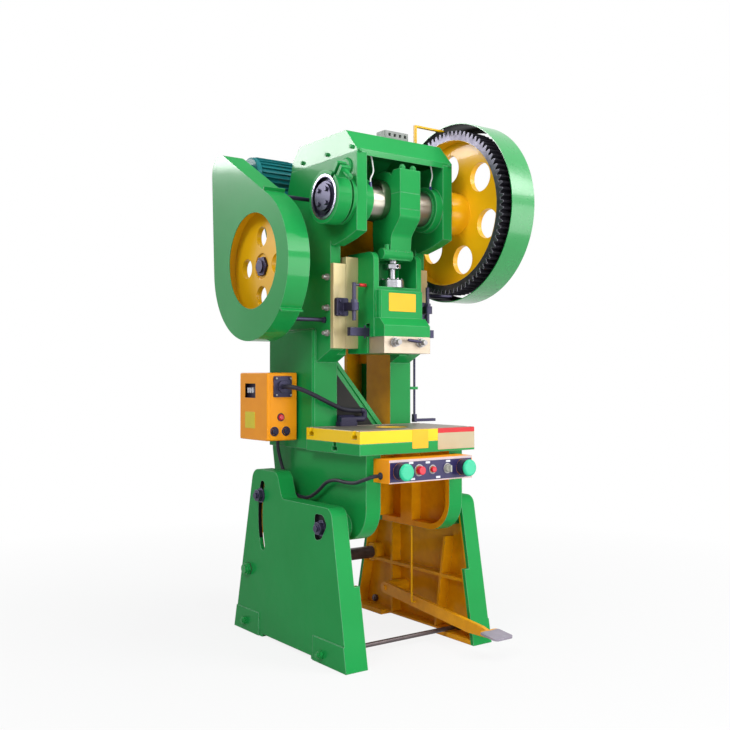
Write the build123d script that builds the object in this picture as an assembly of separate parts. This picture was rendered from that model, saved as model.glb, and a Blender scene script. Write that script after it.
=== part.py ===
"""Open-back inclinable stamping press, modelled piece by piece in millimetres.

X runs to the machine's right, Y to its back and Z up. The origin lies on the floor, in the centre
of the four foundation-bolt holes. At rest the crank is at its top dead centre.
"""
from build123d import *
import math
import os

# Driving dimensions, in millimetres unless a name says degrees
# Fits
RUN_FIT = 0.05
FACE_GAP = 0.3

# Work table
TABLE_WIDTH = 560
TABLE_DEPTH = 360
TABLE_FRONT_Y = -398
TABLE_TOP_Z = 862
BOLSTER_THICK = 48
BED_THICK = 43
T_SLOT_NECK = 20
T_SLOT_HEAD = 34
T_SLOT_HEAD_TALL = 14
T_SLOT_DEPTH = 32
T_SLOT_FROM_EDGE = 34
BOLSTER_HOLE_R = 65

# Crank, connecting rod and slide
CRANK_Y = -225
CRANK_Z = 1736
STROKE = 65
PIN_R = 50
PIN_LENGTH = 104
WEB_R = 60
WEB_THICK = 36
SHOULDER_R = 70
JOURNAL_R = 50
SLEEVE_R = 74
SLEEVE_FLANGE_R = 96
SLEEVE_FLANGE_THICK = 15
SLEEVE_INNER_X = 150
CRANK_BOSS_R = 91
ROD_WIDTH = 100
ROD_RING_R = 96
ROD_PAD_FRONT = 117
ROD_PAD_HALF_HEIGHT = 92
ROD_PAD_DEPTH = 42
ROD_BOTTOM_Z = 1516
ROD_FOOT_R = 48
ROD_BORE_R = 31
ROD_BORE_DEPTH = 124
CLAMP_BARREL_R = 22
CLAMP_BARREL_LEFT_X = -80
CLAMP_BARREL_RIGHT_X = 63
SCREW_R = 22
SCREW_LENGTH = 108
COLLAR_R = 38
COLLAR_THICK = 22
COLLAR_GAP = 12
SCREW_NECK_R = 15
BALL_R = 33
BALL_Z = 1398
BALL_CAP_R = 50
BALL_CAP_THICK = 32
SLIDE_HALF = 118
SLIDE_FRONT_Y = -264
SLIDE_BACK_Y = -92
SLIDE_BOTTOM_Z = 1150
SLIDE_TOP_Z = 1545
SLIDE_EAR_ROUND = 34
EAR_THICK = 25
POCKET_FLOOR_Z = 1410
POCKET_BACK_Y = -150
BROW_HALF = 107
BROW_BOTTOM_Z = 1287
BROW_TOP_Z = 1395
BROW_PROUD = 26
CHIN_HALF = 113
CHIN_PROUD = 61
SHANK_R = 20
SHANK_DEPTH = 60
SHANK_CLAMP_TALL = 64
SHANK_CLAMP_SPLIT = 1
STUD_R = 10
STUD_SPACING = 126
STUD_Z = 1192
TONGUE_PROUD = 28
TONGUE_HALF = 16

# Guides
GIB_INNER = 58
GIB_THICK = 60
KEEPER_THICK = 21
GIB_BOTTOM_Z = 1170
GIB_TOP_Z = 1500
GIB_RISE = 28
GUIDE_FRONT_Y = -161
GIB_SCREW_R = 8
GIB_SCREW_ZS = (1230, 1328, 1448)
GIB_SCREW_PROUD = 26

# Knock-out
KNOCKOUT_BAR_THICK = 22
KNOCKOUT_BAR_TALL = 32
KNOCKOUT_BAR_LENGTH = 414
KNOCKOUT_LIFT = 15
KNOCKOUT_SCREW_R = 8
KNOCKOUT_SCREW_LENGTH = 146
KNOCKOUT_STOP_GAP = 27
KNOCKOUT_SCREW_X = 183
KNOCKOUT_BRACKET_Z = 1330
KNOCKOUT_BRACKET_TALL = 70
KNOCKOUT_BRACKET_WIDE = 54
KNOCKOUT_BRACKET_THICK = 18
KNOCKOUT_ARM_TALL = 30

# Frame casting
COLUMN_HALF = 250
HEAD_HALF = 235
THROAT_HALF = 135
COLUMN_FRONT_Y = -38
COLUMN_BACK_Y = 300
COLUMN_DEEP = 168
SKIN = 35
JAW_FRONT_Z = 1165
JAW_BACK_Z = 1118
STEP_Z = 1250
HEAD_WALL = 47
HEAD_FRONT_Y = -316
HEAD_BACK_Y = 150
HEAD_BOTTOM_Z = 1608
HEAD_TOP_Z = 1906
SHOULDER_Z = 1640
BACK_WEB_THICK = 22
BOX_HALF = 235
BOX_FRONT_Y = -375
BOX_BOTTOM_Z = 445
BOX_CORNER_R = 125
BOX_WALL = 22
BOX_FLANGE = 67
BOX_LIP = 25
BOX_BACK_Y = 40

# Hood over the crank
HOOD_SHEET = 3
HOOD_TOP_Z = 1998
HOOD_CHAMFER_Y = -243
VENT_X = (-24, 96)
VENT_TALL = 40

# Legs and tilting
LEG_OUTER_X = 350
LEG_SKIN = 18
LEG_FLANGE = 69
LEG_FLANGE_LOW = 93
LEG_FLANGE_STEP_Z = 292
LEG_FLANGE_THICK = 20
LEG_RIB = 14
LEG_RIB_DEEP = 46
FOOT_Y = 418
FOOT_RELIEF = 12
FOOT_PAD_PROUD = 4
FOOT_PAD_TALL = 92
ANCHOR_X = 305
ANCHOR_Y = 330
ANCHOR_R = 11
PIVOT_Y = -240
PIVOT_Z = 497
PIVOT_BOSS_R = 45
TILT_RADIUS = 443
TILT_BOLT_ANGLE = 10.2
TILT_SLOT_LOW = -16.5
TILT_SLOT_HIGH = 15.8
TILT_BOLT_R = 15
TILT_BOSS_R = 30
SLOT_HALF = 18
BOLT_HEAD_R = 26
BOLT_HEAD_TALL = 18
TIE_BAR_R = 27
TIE_BAR_Y = 300
TIE_BAR_Z = 260
TIE_ROD_R = 9
FRONT_ROD_Y = -257
FRONT_ROD_Z = 34
REAR_STUD_Y = 323
REAR_STUD_Z = 40

# Big gear, pinion shaft, flywheel
GEAR_MODULE = 8
GEAR_TEETH = 82
PINION_TEETH = 16
BACKLASH = 0.5
PRESSURE_DEGREES = 20
SHAFT_Y = 86
GEAR_LEFT_X = 284
GEAR_FACE = 90
GEAR_RIM_R = 296
GEAR_WEB = 24
GEAR_WEB_X = 337
GEAR_HUB_R = 87
GEAR_HUB_X = 241
GEAR_BORE_R = 45
GEAR_HOLE_R = 59
GEAR_HOLE_PITCH_R = 198
GEAR_HOLE_TURN = 18
GEAR_HOLES = 6
SHAFT_R = 35
SHAFT_BUSH_R = 50
FLYWHEEL_R = 270
FLYWHEEL_WIDE = 70
FLYWHEEL_LEFT_X = -460
FLYWHEEL_RIM = 48
FLYWHEEL_WEB = 22
FLYWHEEL_HUB_R = 52
FLYWHEEL_HUB_X = -405
FLYWHEEL_HOLES = 4
FLYWHEEL_HOLE_R = 40
FLYWHEEL_HOLE_PITCH_R = 118
BELTS = 3
BELT_WIDE = 13
BELT_THICK = 8
BELT_PITCH = 19

# Motor
MOTOR_Y = 335
MOTOR_Z = 1908
MOTOR_R = 76
MOTOR_LENGTH = 250
MOTOR_LEFT_X = -345
MOTOR_FIN = 8
MOTOR_FINS = 26
MOTOR_FOOT = 100
MOTOR_SHAFT_R = 14
MOTOR_PULLEY_R = 56
MOTOR_PLATE_THICK = 12

# Guards
BELT_GUARD_LEFT_X = -470
BELT_GUARD_RIGHT_X = -375
BELT_GUARD_R = 298
BELT_GUARD_SMALL_R = 70
BELT_GUARD_SHEET = 3
BELT_GUARD_RETURN = 26
BELT_GUARD_WINDOW_R = 188
BELT_GUARD_WINDOW_Y = 62
BELT_GUARD_WINDOW_Z = 1513
GEAR_GUARD_LEFT_X = 299
GEAR_GUARD_RIGHT_X = 420
GEAR_GUARD_R = 368
GEAR_GUARD_SHEET = 3
GEAR_GUARD_RETURN = 24
PINION_LOBE_R = 96
STAY_R = 8
BRACKET_X = 152

# Brake on the left end of the crank
DRUM_R = 85
DRUM_LEFT_X = -325
DRUM_WIDE = 68
DRUM_RIM = 12
DRUM_BORE_R = 40
BAND_THICK = 15
BAND_WIDE = 60
BAND_LUG_DEGREES = 128

# Treadle and clutch linkage
TREADLE_X = 225
TREADLE_THICK = 18
TREADLE_TALL = 46
TREADLE_PIVOT_Y = 110
TREADLE_PIVOT_Z = 140
TREADLE_FRONT_Y = -560
TREADLE_FRONT_Z = 72
TREADLE_PIN_R = 12
PEDAL_LONG = 95
PEDAL_WIDE = 96
PEDAL_THICK = 8
LINK_X = 200
LINK_Y = -100
LINK_R = 4
LINK_TOP_Z = 520
CLUTCH_ROD_X = 278
CLUTCH_ROD_Y = -22
CLUTCH_ROD_R = 5
CLUTCH_ROD_TOP_Z = 1225
CLUTCH_ARM_Z = 873
CLUTCH_EYE_ZS = (1005, 1190)

# Electrical parts
EBOX_LEFT_X = -398
EBOX_RIGHT_X = -262
EBOX_FRONT_Y = 65
EBOX_BACK_Y = 290
EBOX_BOTTOM_Z = 804
EBOX_TOP_Z = 1076
EBOX_SHEET = 2
EBOX_DOOR_THICK = 16
EBOX_CORNER_R = 7
HINGE_R = 4
LAMP_RISE = 94
BOX_BUTTON_RISE = 38
BUTTON_BOX_HALF = 201
BUTTON_BOX_FRONT_Y = -470
BUTTON_BOX_BOTTOM_Z = 671
BUTTON_BOX_TALL = 86
BUTTON_BOX_SHEET = 2
BUTTON_Z = 714
PALM_R = 27
PALM_X = 152
PALM_TRAVEL = 6
SHROUD_R = 30
SHROUD_LONG = 30
STOP_X = -62
INCH_X = 3
SELECTOR_X = 76
PUSH_TRAVEL = 4

# Conduits, as hand-chosen routes
HOSE_R = 9
HOSE_ROUTE = (
    (-329, 52, 1020), (-329, 20, 1020), (-316, -30, 1016), (-284, -62, 998), (-236, -74, 974),
    (-182, -72, 950), (-132, -64, 932), (-84, -60, 923), (-34, -60, 923),
)
LEAD_R = 7
LEAD_ROUTE = (
    (-272, 196, 806), (-272, 196, 766), (-264, 190, 718), (-260, 164, 660), (-260, 118, 606),
    (-260, 60, 580), (-260, -20, 578), (-260, -90, 612), (-260, -150, 656), (-260, -215, 669),
    (-260, -290, 664), (-260, -345, 668), (-260, -384, 680), (-252, -412, 690),
    (-232, -420, 697), (-201, -420, 697),
)

GREASE_PIPE_R = 3
GREASE_ROUTES = (
    ((-160, -300, 1798), (-160, -300, 1813), (-143, -298, 1840), (-152, -296, 1896), (-150, -262, 1960),
     (-150, -240, 1990)),
    ((157, -275, 1822), (157, -275, 1837), (168, -275, 1864), (160, -274, 1906), (144, -262, 1950),
     (140, -240, 1990)),
)

# Sizes worked out from the driving dimensions
CRANK_THROW = STROKE / 2
PIN_Z = CRANK_Z + CRANK_THROW
BED_TOP_Z = TABLE_TOP_Z - BOLSTER_THICK
BED_BOTTOM_Z = BED_TOP_Z - BED_THICK
TABLE_BACK_Y = TABLE_FRONT_Y + TABLE_DEPTH
GIB_OUTER_X = SLIDE_HALF + FACE_GAP + GIB_INNER
CENTRES = GEAR_MODULE * (GEAR_TEETH + PINION_TEETH) / 2
SHAFT_Z = CRANK_Z - math.sqrt(CENTRES ** 2 - (SHAFT_Y - CRANK_Y) ** 2)
PINION_ANGLE = math.degrees(math.atan2(SHAFT_Z - CRANK_Z, SHAFT_Y - CRANK_Y))
CHIN_FRONT_Y = SLIDE_FRONT_Y - CHIN_PROUD
KNOCKOUT_BAR_Z = SLIDE_BOTTOM_Z + SHANK_CLAMP_TALL + 3
COLLAR_TOP_Z = ROD_BOTTOM_Z - COLLAR_GAP
BOSS_END_X = LEG_OUTER_X - LEG_SKIN - FACE_GAP
TREADLE_ANGLE = math.degrees(
    math.atan2(TREADLE_PIVOT_Z - TREADLE_FRONT_Z, TREADLE_PIVOT_Y - TREADLE_FRONT_Y))
LAMP_Z = EBOX_BOTTOM_Z + LAMP_RISE
BOX_BUTTON_Z = EBOX_BOTTOM_Z + BOX_BUTTON_RISE


# Shared shapes
def block(x0, x1, y0, y1, z0, z1):
    """Box between two corners."""
    centre = Pos((x0 + x1) / 2, (y0 + y1) / 2, (z0 + z1) / 2)
    return centre * Box(abs(x1 - x0), abs(y1 - y0), abs(z1 - z0))


def slab_x(sketch, x0, x1):
    """Extrude a sketch drawn in (Y, Z) from x0 to x1."""
    return extrude(Plane.YZ.offset(x0) * sketch, amount=x1 - x0)


def slab_y(sketch, y0, y1):
    """Extrude a sketch drawn in (X, Z) from y0 to y1."""
    return extrude(Plane.XZ.offset(-y1) * sketch, amount=y1 - y0)


def slab_z(sketch, z0, z1):
    """Extrude a sketch drawn in (X, Y) from z0 to z1."""
    return extrude(Plane.XY.offset(z0) * sketch, amount=z1 - z0)


def rod_x(radius, x0, x1, y, z):
    return slab_x(Pos(y, z) * Circle(radius), x0, x1)


def rod_y(radius, x, y0, y1, z):
    return slab_y(Pos(x, z) * Circle(radius), y0, y1)


def rod_z(radius, x, y, z0, z1):
    return slab_z(Pos(x, y) * Circle(radius), z0, z1)


def hex_x(radius, x0, x1, y, z):
    return slab_x(Pos(y, z) * RegularPolygon(radius, 6), x0, x1)


def hex_y(radius, x, y0, y1, z):
    return slab_y(Pos(x, z) * RegularPolygon(radius, 6), y0, y1)


def hex_z(radius, x, y, z0, z1):
    return slab_z(Pos(x, y) * RegularPolygon(radius, 6), z0, z1)


def rounded(corners):
    """Closed face through (a, b, radius) corners, with an arc at each corner that has a radius."""
    count = len(corners)
    tangents = []
    for i in range(count):
        here = Vector(corners[i][0], corners[i][1])
        back = (Vector(corners[i - 1][0], corners[i - 1][1]) - here).normalized()
        ahead = (Vector(corners[(i + 1) % count][0], corners[(i + 1) % count][1]) - here).normalized()
        radius = corners[i][2]
        if radius == 0:
            tangents.append((here, None, here))
            continue
        half_turn = math.radians(back.get_angle(ahead)) / 2
        reach = radius / math.tan(half_turn)
        towards = (back + ahead).normalized()
        middle = here + towards * (radius / math.sin(half_turn) - radius)
        tangents.append((here + back * reach, middle, here + ahead * reach))
    edges = []
    for i in range(count):
        start, middle, end = tangents[i]
        if middle is not None:
            edges.append(ThreePointArc(start, middle, end))
        edges.append(Line(end, tangents[(i + 1) % count][0]))
    return make_face(edges)


def two_circle_loop(big, big_r, small, small_r):
    """Face inside a belt laid round two circles."""
    gap = Vector(small[0] - big[0], small[1] - big[1])
    heading = math.atan2(gap.Y, gap.X)
    spread = math.acos((big_r - small_r) / gap.length)

    def at(centre, radius, angle):
        return (centre[0] + radius * math.cos(angle), centre[1] + radius * math.sin(angle))

    left, right = heading + spread, heading - spread
    return make_face([
        Line(at(big, big_r, left), at(small, small_r, left)),
        ThreePointArc(at(small, small_r, left), at(small, small_r, heading), at(small, small_r, right)),
        Line(at(small, small_r, right), at(big, big_r, right)),
        ThreePointArc(at(big, big_r, right), at(big, big_r, heading + math.pi), at(big, big_r, left)),
    ])


def mirrored(shape):
    return mirror(shape, about=Plane.YZ)


def both_sides(shape):
    """The shape and its mirror image, kept as separate solids."""
    return Compound(children=list(shape.solids()) + list(mirrored(shape).solids()))


def group(*shapes):
    """Several separate solids in one node."""
    return Compound(children=[solid for shape in shapes for solid in shape.solids()])


def toothed_outline(teeth, clearance_teeth):
    """Spur gear outline in its own plane: involute flanks as arcs, a tooth centred on the first axis."""
    pitch_r = GEAR_MODULE * teeth / 2
    pressure = math.radians(PRESSURE_DEGREES)
    base_r = pitch_r * math.cos(pressure)
    tip_r = pitch_r + GEAR_MODULE
    root_r = pitch_r - 1.25 * GEAR_MODULE
    start_r = max(base_r, root_r)
    half_pitch = (math.pi * GEAR_MODULE / 2 - BACKLASH / 2) / (2 * pitch_r)
    pitch_roll = math.tan(pressure) - pressure

    def flank(radius):
        slope = math.acos(min(1, base_r / radius))
        return half_pitch + pitch_roll - (math.tan(slope) - slope)

    def at(radius, angle):
        return (radius * math.cos(angle), radius * math.sin(angle))

    edges = []
    middle_r = (start_r + tip_r) / 2
    step = 2 * math.pi / teeth
    for tooth in range(teeth):
        centre = tooth * step
        after = centre + step
        rising = [at(radius, centre - flank(radius)) for radius in (start_r, middle_r, tip_r)]
        falling = [at(radius, centre + flank(radius)) for radius in (tip_r, middle_r, start_r)]
        edges.append(ThreePointArc(*rising))
        edges.append(Line(rising[2], falling[0]))
        edges.append(ThreePointArc(*falling))
        root_here = at(root_r, centre + flank(start_r))
        root_next = at(root_r, after - flank(start_r))
        foot_next = at(start_r, after - flank(start_r))
        if start_r > root_r:
            edges.append(Line(falling[2], root_here))
            edges.append(Line(root_next, foot_next))
        edges.append(Line(root_here, root_next))
    return make_face(edges)


# Legs and what ties them together
def tilt_point(degrees):
    angle = math.radians(degrees)
    return (PIVOT_Y + TILT_RADIUS * math.cos(angle), PIVOT_Z + TILT_RADIUS * math.sin(angle))


def leg_outline(inset):
    """Side view of a leg: sloped front and back, low shoulder in front, high shoulder behind."""
    front = [(-FOOT_Y + inset, 0 + inset, 0), (-314 + inset * 1.2, 577 - inset, max(40 - inset, 8))]
    middle = [(34 + inset, 577 - inset, 30), (72 + inset, 680 - inset, max(42 - inset, 8))]
    rear = [(262 - inset * 1.2, 680 - inset, max(50 - inset, 8)), (FOOT_Y - inset * 1.2, 0 + inset, 0)]
    return rounded(front + middle + rear)


def tilt_slot(half_width):
    low, high = tilt_point(TILT_SLOT_LOW), tilt_point(TILT_SLOT_HIGH)
    middle = tilt_point((TILT_SLOT_LOW + TILT_SLOT_HIGH) / 2)
    return SlotArc(ThreePointArc(low, middle, high), 2 * half_width)


def right_leg():
    inner_skin = LEG_OUTER_X - LEG_SKIN
    flange_x = LEG_OUTER_X - LEG_FLANGE
    rim = leg_outline(0) - leg_outline(LEG_FLANGE_THICK)
    leg = slab_x(leg_outline(0), inner_skin, LEG_OUTER_X) + slab_x(rim, flange_x, inner_skin + 1)
    low_flange = slab_x(rim, LEG_OUTER_X - LEG_FLANGE_LOW, flange_x + 1)
    leg += low_flange & block(0, 400, -450, -190, 0, LEG_FLANGE_STEP_Z)
    leg += low_flange & block(0, 400, 188, 450, 0, LEG_FLANGE_THICK)
    rib_x = inner_skin - LEG_RIB_DEEP
    upright = rounded([(143, 10, 0), (143, 670, 0), (143 + LEG_RIB, 670, 0), (143 + LEG_RIB, 10, 0)])
    shelf = rounded([(-350, 229, 0), (-350, 229 + LEG_RIB, 0), (150, 229 + LEG_RIB, 0), (150, 229, 0)])
    rake = rounded([(-154, 10, 0), (-216, 400, 0), (-202, 400, 0), (-140, 10, 0)])
    rear_shelf = rounded([(150, 229, 0), (150, 243, 0), (352, 243, 0), (352, 229, 0)])
    ribs = slab_x(upright, rib_x, inner_skin + 1) + slab_x(shelf, rib_x, inner_skin + 1)
    ribs += slab_x(rake, rib_x, inner_skin + 1) + slab_x(rear_shelf, rib_x, inner_skin + 1)
    ribs -= rod_x(PIVOT_BOSS_R + 14, rib_x - 5, inner_skin, PIVOT_Y, PIVOT_Z)
    leg += ribs & slab_x(leg_outline(LEG_FLANGE_THICK / 2), 200, inner_skin + 1)
    leg += rod_x(TIE_BAR_R + 14, rib_x, inner_skin + 1, TIE_BAR_Y, TIE_BAR_Z)
    treadle_boss_x = TREADLE_X + TREADLE_THICK / 2 + FACE_GAP
    leg += rod_x(TREADLE_PIN_R + 16, treadle_boss_x, inner_skin + 1, TREADLE_PIVOT_Y, TREADLE_PIVOT_Z)
    for near, far in ((-FOOT_Y - 5, -196), (212, FOOT_Y + 5)):
        pad = slab_x(rounded([(near, -5, 0), (near, FOOT_PAD_TALL, 0), (far, FOOT_PAD_TALL, 0), (far, -5, 0)]),
                     LEG_OUTER_X - 1, LEG_OUTER_X + FOOT_PAD_PROUD)
        leg += pad & slab_x(leg_outline(0), LEG_OUTER_X - 2, LEG_OUTER_X + FOOT_PAD_PROUD + 2)
    leg -= slab_x(tilt_slot(SLOT_HALF), inner_skin - 1, LEG_OUTER_X + 1)
    pocket = rounded([(-206, 548, 14), (-206, 446, 14), (-250, 458, 22), (-288, 512, 20), (-262, 548, 24)])
    leg -= slab_x(pocket, LEG_OUTER_X - 10, LEG_OUTER_X + 1)
    leg -= rod_x(TILT_BOLT_R + RUN_FIT, inner_skin - 1, LEG_OUTER_X, PIVOT_Y, PIVOT_Z)
    leg -= rod_x(TIE_BAR_R - 8 + RUN_FIT, rib_x - 1, LEG_OUTER_X + 1, TIE_BAR_Y, TIE_BAR_Z)
    leg -= rod_x(TIE_ROD_R + RUN_FIT, inner_skin - 1, LEG_OUTER_X + 5, FRONT_ROD_Y, FRONT_ROD_Z)
    leg -= rod_x(TIE_ROD_R + RUN_FIT, inner_skin - 1, LEG_OUTER_X + 5, REAR_STUD_Y, REAR_STUD_Z)
    leg -= rod_x(TREADLE_PIN_R + RUN_FIT, treadle_boss_x - 1, inner_skin + 1, TREADLE_PIVOT_Y, TREADLE_PIVOT_Z)
    leg -= block(0, 400, -181, 188, -1, FOOT_RELIEF)
    for y in (-ANCHOR_Y, ANCHOR_Y):
        leg -= rod_z(ANCHOR_R, ANCHOR_X, y, -1, LEG_FLANGE_THICK + 30)
    return leg


def left_leg():
    """Mirror image of the right leg, without the treadle's pivot boss."""
    leg = mirrored(right_leg())
    boss_end = -(LEG_OUTER_X - LEG_SKIN)
    return leg - block(boss_end, -150, TREADLE_PIVOT_Y - 32, TREADLE_PIVOT_Y + 32,
                       TREADLE_PIVOT_Z - 32, TREADLE_PIVOT_Z + 32)


def cross_bar():
    """Thick bar between the legs, shouldered at both ends and held by nuts outside."""
    shoulder_x = LEG_OUTER_X - LEG_SKIN - LEG_RIB_DEEP
    bar = rod_x(TIE_BAR_R, -shoulder_x, shoulder_x, TIE_BAR_Y, TIE_BAR_Z)
    bar += rod_x(TIE_BAR_R - 8, -LEG_OUTER_X - 26, LEG_OUTER_X + 26, TIE_BAR_Y, TIE_BAR_Z)
    nut = hex_x(TIE_BAR_R, LEG_OUTER_X, LEG_OUTER_X + 16, TIE_BAR_Y, TIE_BAR_Z)
    return bar + nut + mirrored(nut)


def tie_rods():
    """Rear bar and front rod from leg to leg, and the short stud with nuts in each rear foot."""
    outer = LEG_OUTER_X + FOOT_PAD_PROUD
    nut = hex_x(16, outer, outer + 14, FRONT_ROD_Y, FRONT_ROD_Z)
    nut += hex_x(16, LEG_OUTER_X - LEG_SKIN - 14, LEG_OUTER_X - LEG_SKIN, FRONT_ROD_Y, FRONT_ROD_Z)
    rod = rod_x(TIE_ROD_R, -outer - 24, outer + 24, FRONT_ROD_Y, FRONT_ROD_Z) + nut + mirrored(nut)
    stud = rod_x(TIE_ROD_R, LEG_OUTER_X - LEG_SKIN - 20, outer + 20, REAR_STUD_Y, REAR_STUD_Z)
    stud += hex_x(16, outer, outer + 14, REAR_STUD_Y, REAR_STUD_Z)
    stud += hex_x(16, LEG_OUTER_X - LEG_SKIN - 14, LEG_OUTER_X - LEG_SKIN, REAR_STUD_Y, REAR_STUD_Z)
    return group(cross_bar(), rod, both_sides(stud))


def tilt_bolt(y, z, seat_x):
    """Bolt screwed into a frame boss, with its washer and head outside the leg."""
    bolt = rod_x(TILT_BOLT_R, BOX_HALF + 25, seat_x + BOLT_HEAD_TALL, y, z)
    bolt += rod_x(BOLT_HEAD_R + 4, seat_x, seat_x + 4, y, z)
    bolt += hex_x(BOLT_HEAD_R, seat_x + 4, seat_x + 4 + BOLT_HEAD_TALL, y, z)
    return bolt + rod_x(TILT_BOLT_R - 3, seat_x, seat_x + BOLT_HEAD_TALL + 14, y, z)


def tilt_bolts():
    pivot = tilt_bolt(PIVOT_Y, PIVOT_Z, LEG_OUTER_X - 10 + FACE_GAP)
    clamp = tilt_bolt(*tilt_point(TILT_BOLT_ANGLE), LEG_OUTER_X + FACE_GAP)
    return group(both_sides(pivot), both_sides(clamp))


# Frame casting
def cheek_outline():
    """Side view of a cheek: upright front, large lower corner, then rising behind the clamp bolt."""
    bolt_y, bolt_z = tilt_point(TILT_BOLT_ANGLE)
    return rounded([
        (BOX_FRONT_Y, BED_TOP_Z, 0), (BOX_FRONT_Y, BOX_BOTTOM_Z, BOX_CORNER_R),
        (bolt_y - 90, BOX_BOTTOM_Z, 60), (bolt_y + 70, bolt_z + 10, 60),
        (COLUMN_BACK_Y, 757, 40), (COLUMN_BACK_Y, BED_TOP_Z, 0)])


def lower_box():
    """Two cheeks under the table, flanged inwards all round, open below, with a wall between them."""
    outline = cheek_outline()
    rim = outline - offset(outline, amount=-BOX_LIP)
    flange_x = BOX_HALF - BOX_FLANGE
    cheek = slab_x(outline, BOX_HALF - BOX_WALL, BOX_HALF) + slab_x(rim, flange_x, BOX_HALF - 1)
    cheek += block(flange_x, BOX_HALF - 1, LINK_Y - 42, LINK_Y + 36, BOX_BOTTOM_Z + 1, BED_BOTTOM_Z + 1)
    wall = block(-BOX_HALF + 5, BOX_HALF - 5, BOX_BACK_Y, BOX_BACK_Y + BOX_WALL,
                 BOX_BOTTOM_Z + BOX_LIP, BED_BOTTOM_Z + 1)
    link_pocket = block(LINK_X - 8, LINK_X + 8, LINK_Y - 22, LINK_Y + 26, BOX_BOTTOM_Z - 1, LINK_TOP_Z + 50)
    return cheek + mirrored(cheek) + wall - link_pocket


def column():
    """Right-hand side of the C: a deep post beside the throat, then the jaw and the head wall."""
    post = block(THROAT_HALF, COLUMN_HALF, COLUMN_FRONT_Y, COLUMN_FRONT_Y + COLUMN_DEEP, BED_BOTTOM_Z, STEP_Z)
    post += block(COLUMN_HALF - SKIN, COLUMN_HALF, COLUMN_FRONT_Y, COLUMN_BACK_Y, BED_BOTTOM_Z, STEP_Z)
    post += block(THROAT_HALF, COLUMN_HALF, COLUMN_BACK_Y - BOX_WALL, COLUMN_BACK_Y, BED_BOTTOM_Z, STEP_Z)
    post = fillet(post.edges().filter_by(Axis.Y).group_by(Axis.Z)[-1].group_by(Axis.X)[-1], 14)
    post = chamfer(post.edges().filter_by(Axis.Z).group_by(Axis.Y)[0].group_by(Axis.X)[-1], 8)
    gib_back = GUIDE_FRONT_Y + KEEPER_THICK
    jaw_side = rounded([
        (gib_back, JAW_FRONT_Z, 0), (COLUMN_FRONT_Y, JAW_BACK_Z, 0), (COLUMN_FRONT_Y + COLUMN_DEEP, JAW_BACK_Z, 0),
        (COLUMN_FRONT_Y + COLUMN_DEEP, SHOULDER_Z, 0), (gib_back, SHOULDER_Z, 0)])
    jaw = slab_x(jaw_side, THROAT_HALF, HEAD_HALF)
    skin_side = rounded([
        (COLUMN_FRONT_Y, JAW_BACK_Z, 0), (COLUMN_BACK_Y, JAW_BACK_Z, 0), (COLUMN_BACK_Y, SHOULDER_Z, 90),
        (190, 1790, 60), (HEAD_BACK_Y, HEAD_TOP_Z, 0), (COLUMN_FRONT_Y, HEAD_TOP_Z, 0)])
    jaw += slab_x(skin_side, HEAD_HALF - SKIN, HEAD_HALF)
    jaw += block(THROAT_HALF, HEAD_HALF, COLUMN_BACK_Y - BOX_WALL, COLUMN_BACK_Y, JAW_BACK_Z, SHOULDER_Z - 90)
    wall_side = rounded([
        (HEAD_FRONT_Y, HEAD_BOTTOM_Z, 0), (HEAD_FRONT_Y, HEAD_TOP_Z, 0), (HEAD_BACK_Y, HEAD_TOP_Z, 0),
        (HEAD_BACK_Y, SHOULDER_Z - 20, 0), (gib_back, SHOULDER_Z - 20, 0), (gib_back, 1562, 24),
        (-250, 1586, 30)])
    wall = slab_x(wall_side, HEAD_HALF - HEAD_WALL, HEAD_HALF)
    relief = block(THROAT_HALF - 1, SLIDE_HALF + FACE_GAP + GIB_INNER, gib_back - 1,
                   GUIDE_FRONT_Y + GIB_THICK, JAW_FRONT_Z - 60, GIB_TOP_Z)
    ledge = block(THROAT_HALF - 1, HEAD_HALF - HEAD_WALL, gib_back - 1, 200, GIB_TOP_Z, SHOULDER_Z + 1)
    return post + (jaw - relief - ledge) + wall


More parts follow.
